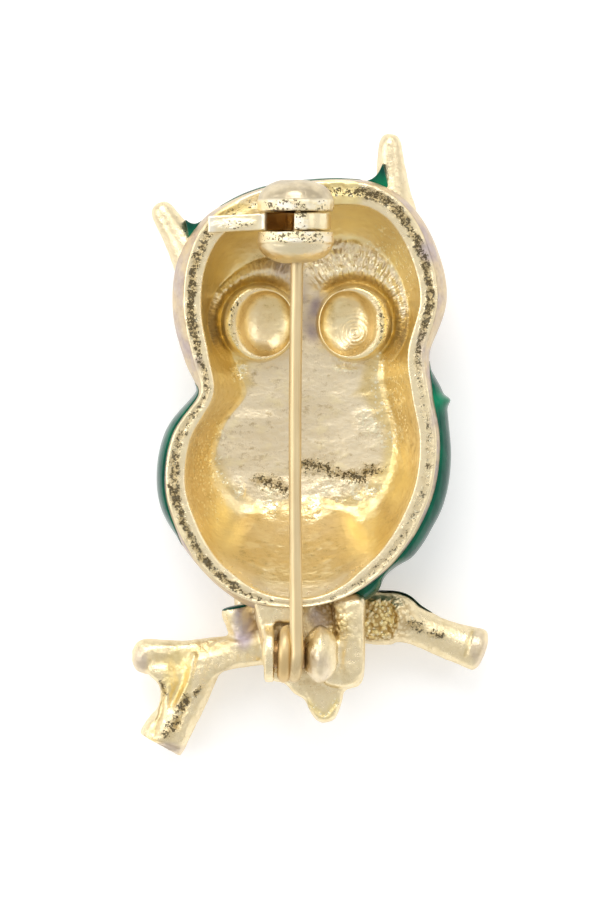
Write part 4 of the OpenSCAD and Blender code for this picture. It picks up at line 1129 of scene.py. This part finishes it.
# A circle that shifts by the pitch each turn, then a line bowed by half a sine that thins out
def pinPart():
    turn = np.radians(np.linspace(pin["startTurn"], 90, 190))
    shift = pin["pitch"] * np.clip((turn - pi / 2) / (2 * pi), 0, 1)
    reach = pin["turn"]
    coil = np.stack([catchX - shift, hingeY + reach * np.cos(turn), hingeZ + reach * np.sin(turn)], -1)
    y = np.linspace(hingeY, pin["tip"], 150)[1:]
    t = (y - hingeY) / (catchY - hingeY)
    bow = pin["bow"] * np.sin(pi * np.clip(t, 0, 1.05)) + 0.08 * t
    path = np.concatenate([coil, np.stack([catchX + bow, y, pinZ + 0 * y], -1)])
    along = np.concatenate([np.full(len(coil), hingeY), y])
    half = pin["half"] * (1.06 - 0.1 * ease(hingeY, hingeY + 6, along))
    half *= 1 - 0.82 * ease(pin["pointFrom"], pin["tip"] + 0.4, along)
    half[:6] *= np.sqrt(1 - (1 - np.linspace(0.15, 1, 6)) ** 2)
    part = tube(path, half, half, pin["sides"], (1, 0, 0))
    roughen(part, (0.012, 0.8, 71))
    # The coil's turn by the left lug takes the deeper wire colour
    toneShare = np.repeat(np.concatenate([ease(380, 470, np.degrees(turn)), 0 * y]), pin["sides"])
    return part, {"deep": 0.8 * np.concatenate([toneShare, [1, 0]])}


pinSolid, pinMarks = pinPart()
putPiece("pinStem", pinSolid, "pin", wireFinish, "pin_stem", pinMarks, 70)

# Rivet: a turned shaft through coil and lugs with a low domed head on the left
rivet = {"half": 1.03, "head": 0.16}
rivetFrom, rivetTo = (corner[0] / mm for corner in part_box("hinge_rivet"))


# A quarter circle as head, a straight shaft and a step at its end
def rivetPart():
    head, half, end = rivet["head"], rivet["half"], rivetTo - rivetFrom
    bend = np.linspace(0, pi / 2, 7)
    profile = [(head * (1 - math.cos(b)), 0.02 + (half - 0.02) * math.sin(b)) for b in bend]
    profile += [(t, half) for t in np.linspace(head + 0.02, end - 0.1, 20)]
    profile += [(end - 0.03, 0.98), (end, 0.85)]
    return turned(profile, (rivetFrom, hingeY, hingeZ), (1, 0, 0), 56)


rivetSolid = rivetPart()
# Painted shade where the shaft lies inside the coil and the lugs
rivetDeep = 0.9 * ease(0.5, 0.8, rivetSolid["verts"][:, 0] - rivetFrom)
putPiece("hingeRivet", rivetSolid, "brooch", fittingFinish, "hinge_rivet",
         {"grit": 0.1, "deep": rivetDeep})

# Enamel over the side: from one turn to another, between two shares of the way down, its reach beyond the
# rim's edge from a row of heights, and a hook where the tip of the wing stands out
enamels = {
    "wingEnamelLeft": {"span": (175, 220), "rows": (0.1, 0.875), "node": "wing_enamel_left", "hook": 0,
                       "heights": [0.2, 0.42, 0.52, 0.63, 0.68, 0.68, 0.66, 0.6, 0.4, 0.05]},
    "wingEnamelRight": {"span": (290, 370), "rows": (0.1, 0.875), "node": "wing_enamel_right", "hook": 0.42,
                        "heights": [1.35, 1.35, 1.0, 0.4, 0.45, 0.9, 1.02, 1.06, 1.16, 1.16, 1.12, 1.06, 1.0,
                                    1.12, 1.1, 0.7, 0.12]},
    "crownEnamel": {"span": (65, 125), "rows": (0.25, 0.75), "node": "crown_enamel", "hook": 0,
                    "heights": [0.2, 0.24, 0.25, 0.3]},
}


# A pillow on the side: half a sine's power across, and a root of a fifth power along
def sideEnamel(name, span, rows, heights, node, hook):
    turn = np.linspace(*span, 190)[:, None]
    share = np.linspace(0, 1, 34)
    place = (turn - span[0]) / (span[1] - span[0])
    reach = openRows(heights, place) + hook * bell(turn - 357.2, 1.5)
    taper = np.sqrt(1 - np.abs((2 * place - 1) * 0.998) ** 5)
    t = (rows[0] + rows[1]) / 2 + (share - 0.5) * (rows[1] - rows[0]) * taper
    most = np.maximum(reach - owl["flare"] * roundRows(owl["outline"], turn)[..., 1], 0.05)
    rise = np.sin(pi * (share * 0.86 + 0.07)) ** 0.7
    over = sidePoint(turn, t, 0.03 + most * rise * taper)
    under = sidePoint(turn, t, -0.12)
    # Lighter near the pillow's edges, where it is thin, and at the hook's tip
    thin = 0.3 * (1 - ease(0, 0.9, rise)) + 0.55 * bell(turn - 358, 3) * (hook > 0)
    marks = onSkin({"thin": np.concatenate([thin, thin[:, ::-1]], 1)})
    putEnamel(name, skin(np.concatenate([over, under[:, ::-1]], 1)), node, marks["thin"])


for name, given in enamels.items():
    sideEnamel(name, **given)

# Enamel in each ear's notch: a web between the ear and the crown, cast with a soft edge
notch = {"reach": 0.6, "turn": 12, "high": 1.45, "voxel": 0.06, "rounds": 6}


# A curve from the ear to the crown over a knee, as a slab that dips next to the ear
def notchEnamel(name, ear, towards):
    foot, along, across = earFoot(ear)
    up = foot + notch["reach"] * ear["length"] * along + ear["web"] * towards * across
    turn = np.array(float(ear["turn"] + towards * notch["turn"]))
    far = edgeAt(turn, owl["flare"] * roundRows(owl["outline"], turn)[1])
    bend = np.linspace(0, 1, 9)[:, None]
    knee = 0.4 * up + 0.4 * far + 0.2 * foot
    curve = (1 - bend) ** 2 * up + 2 * bend * (1 - bend) * knee + bend ** 2 * far
    outline = np.concatenate([curve, [far * 0.85 + foot * 0.15 - [0, 0.4], foot]])
    web = slab(outline, ears["level"] - notch["high"], ears["level"] + notch["high"], 0.12)
    part = castTogether([web], notch["voxel"], notch["rounds"])
    v = part["verts"]
    share = np.hypot(v[:, 0] - foot[0], v[:, 1] - foot[1]) / 3
    v[:, 2] -= 0.3 * bell(share - 0.35, 0.3) * (v[:, 2] > ears["level"])
    # Lighter next to the ear, where the web is thin over the metal, and darker away from it as painted shade
    putEnamel("earEnamel" + name, part, "ear_enamel_" + name.lower(), 0.85 * ease(0.95, 0.45, share))


for name, (_, side) in eyePlaces.items():
    notchEnamel(name, ears[name], side)

# Thin enamel on the branch: a cap over the left knob's end and a strip along the top of the right branch
caps = {"cover": 0.12, "out": 0.13, "proud": 0.04, "from": 0.11, "to": 0.42, "strip": 0.035,
        "stripTall": 0.6}


# Rings past the knob's end, their radius falling like a circle's
def knobCap():
    path, half = twigPath(branch["knob"], 30)
    way = (path[-1] - path[-2]) / np.linalg.norm(path[-1] - path[-2])
    t = np.linspace(0, 1, 9)
    line = path[-1] + way * (-caps["cover"] + (caps["cover"] + caps["out"]) * t)[:, None]
    swell = (half[-1] + caps["proud"]) * np.sqrt(1 - (0.93 * t ** 1.5) ** 2)
    return tube(line, swell, swell * branch["flat"], 40)


# A flat tube beside the branch's line, its ends a root of a fourth power
def branchStrip(count=120):
    path, half = twigPath(branch["right"], count)
    way = np.gradient(path, axis=0)
    side = np.cross((0, 0, 1), way / np.linalg.norm(way, axis=1)[:, None])
    line = (path + side * (half + 0.02)[:, None])[int(caps["from"] * count):int(caps["to"] * count)]
    ends = np.sqrt(1 - np.linspace(-0.99, 0.99, len(line)) ** 4)
    return tube(line, caps["strip"] * ends, caps["stripTall"] * ends, 24)


putEnamel("branchEnamelLeft", knobCap(), "branch_enamel_left", 0, 70)
putEnamel("branchEnamelRight", branchStrip(), "branch_enamel_right", 0, 70)

# Eyes on the front: plain cabochons, a low dome and a girdle turned about the upright
cabochon = {"radius": 1.8, "dome": 0.95, "girdle": (0.85, 1.95), "back": [(2.05, 1.72), (2.1, 1.4)]}


# A dome as high as a circle's arc over its radius, then a straight girdle
def eyePart(x):
    dome, radius = cabochon["dome"], cabochon["radius"]
    bend = np.linspace(0.03, 1, 18)
    profile = [(dome * (1 - math.sqrt(1 - (b * 0.98) ** 2)), radius * b) for b in bend]
    profile += [(t, radius) for t in np.linspace(*cabochon["girdle"], 6)] + cabochon["back"]
    return turned(profile, (x, eyes["y"], 0.0), (0, 0, 1), 72)


for name, (x, _) in eyePlaces.items():
    putPiece("eye" + name, eyePart(x), "brooch", eyeFinish, "eye_" + name.lower(), {})
print("pieces made")


# Floor: a wide sheet, larger than the view, that gives back some light of its own
ground = {"light": (0.86, 0.86, 0.86), "shade": (0.84, 0.84, 0.845), "glow": 0.32,
          "radii": (0.5, 40, 160, 700, 2500)}


# Flat rings about the origin, each with its radius
def paleFloor():
    f = Finish("paleFloor")
    base = f.tint(ground["light"], ground["shade"], f.noise(60, 2, 0.5))
    finish = f.shade(Base_Color=base, Roughness=0.9, Normal=f.bump(f.noise(0.8, 2, 0.5), 0.02),
                     Emission_Color=(1.0, 1.0, 1.0, 1.0), Emission_Strength=ground["glow"])
    a, r = around(64), np.array(ground["radii"])[:, None]
    rings = np.stack([r * np.cos(a), r * np.sin(a), 0 * r * a], -1)
    floor = meshFrom("floor", skin(rings, (True, False)), mm)
    if floor.data.polygons[0].normal.z < 0:
        floor.data.flip_normals()
    floor.data.materials.append(finish)


paleFloor()

light = {
    "world": 0.74, "colour": (1.0, 0.995, 0.985, 1),
    "lamps": [("topSoft", (-60, 430, 420), 440, 2.5), ("leftSoft", (-480, 60, 330), 360, 2.0),
              ("rightSoft", (430, 160, 420), 260, 1.25)],
}
world = bpy.data.worlds.new("studio")
bpy.context.scene.world = world
world.use_nodes = True
world.node_tree.nodes["Background"].inputs["Color"].default_value = light["colour"]
world.node_tree.nodes["Background"].inputs["Strength"].default_value = light["world"]
for name, place, size, radiance in light["lamps"]:
    lamp = bpy.data.objects.new(name, bpy.data.lights.new(name, "AREA"))
    bpy.context.scene.collection.objects.link(lamp)
    lamp.data.shape = "DISK"
    lamp.data.size = size * mm
    lamp.data.energy = radiance * pi * (size * mm) ** 2
    lamp.location = [v * mm for v in place]
    lamp.rotation_euler = (-lamp.location).to_track_quat("-Z", "Y").to_euler()
settings = bpy.context.scene.view_settings
settings.view_transform = "Standard"
settings.look = "None"
settings.exposure = 0.0
print("light set")
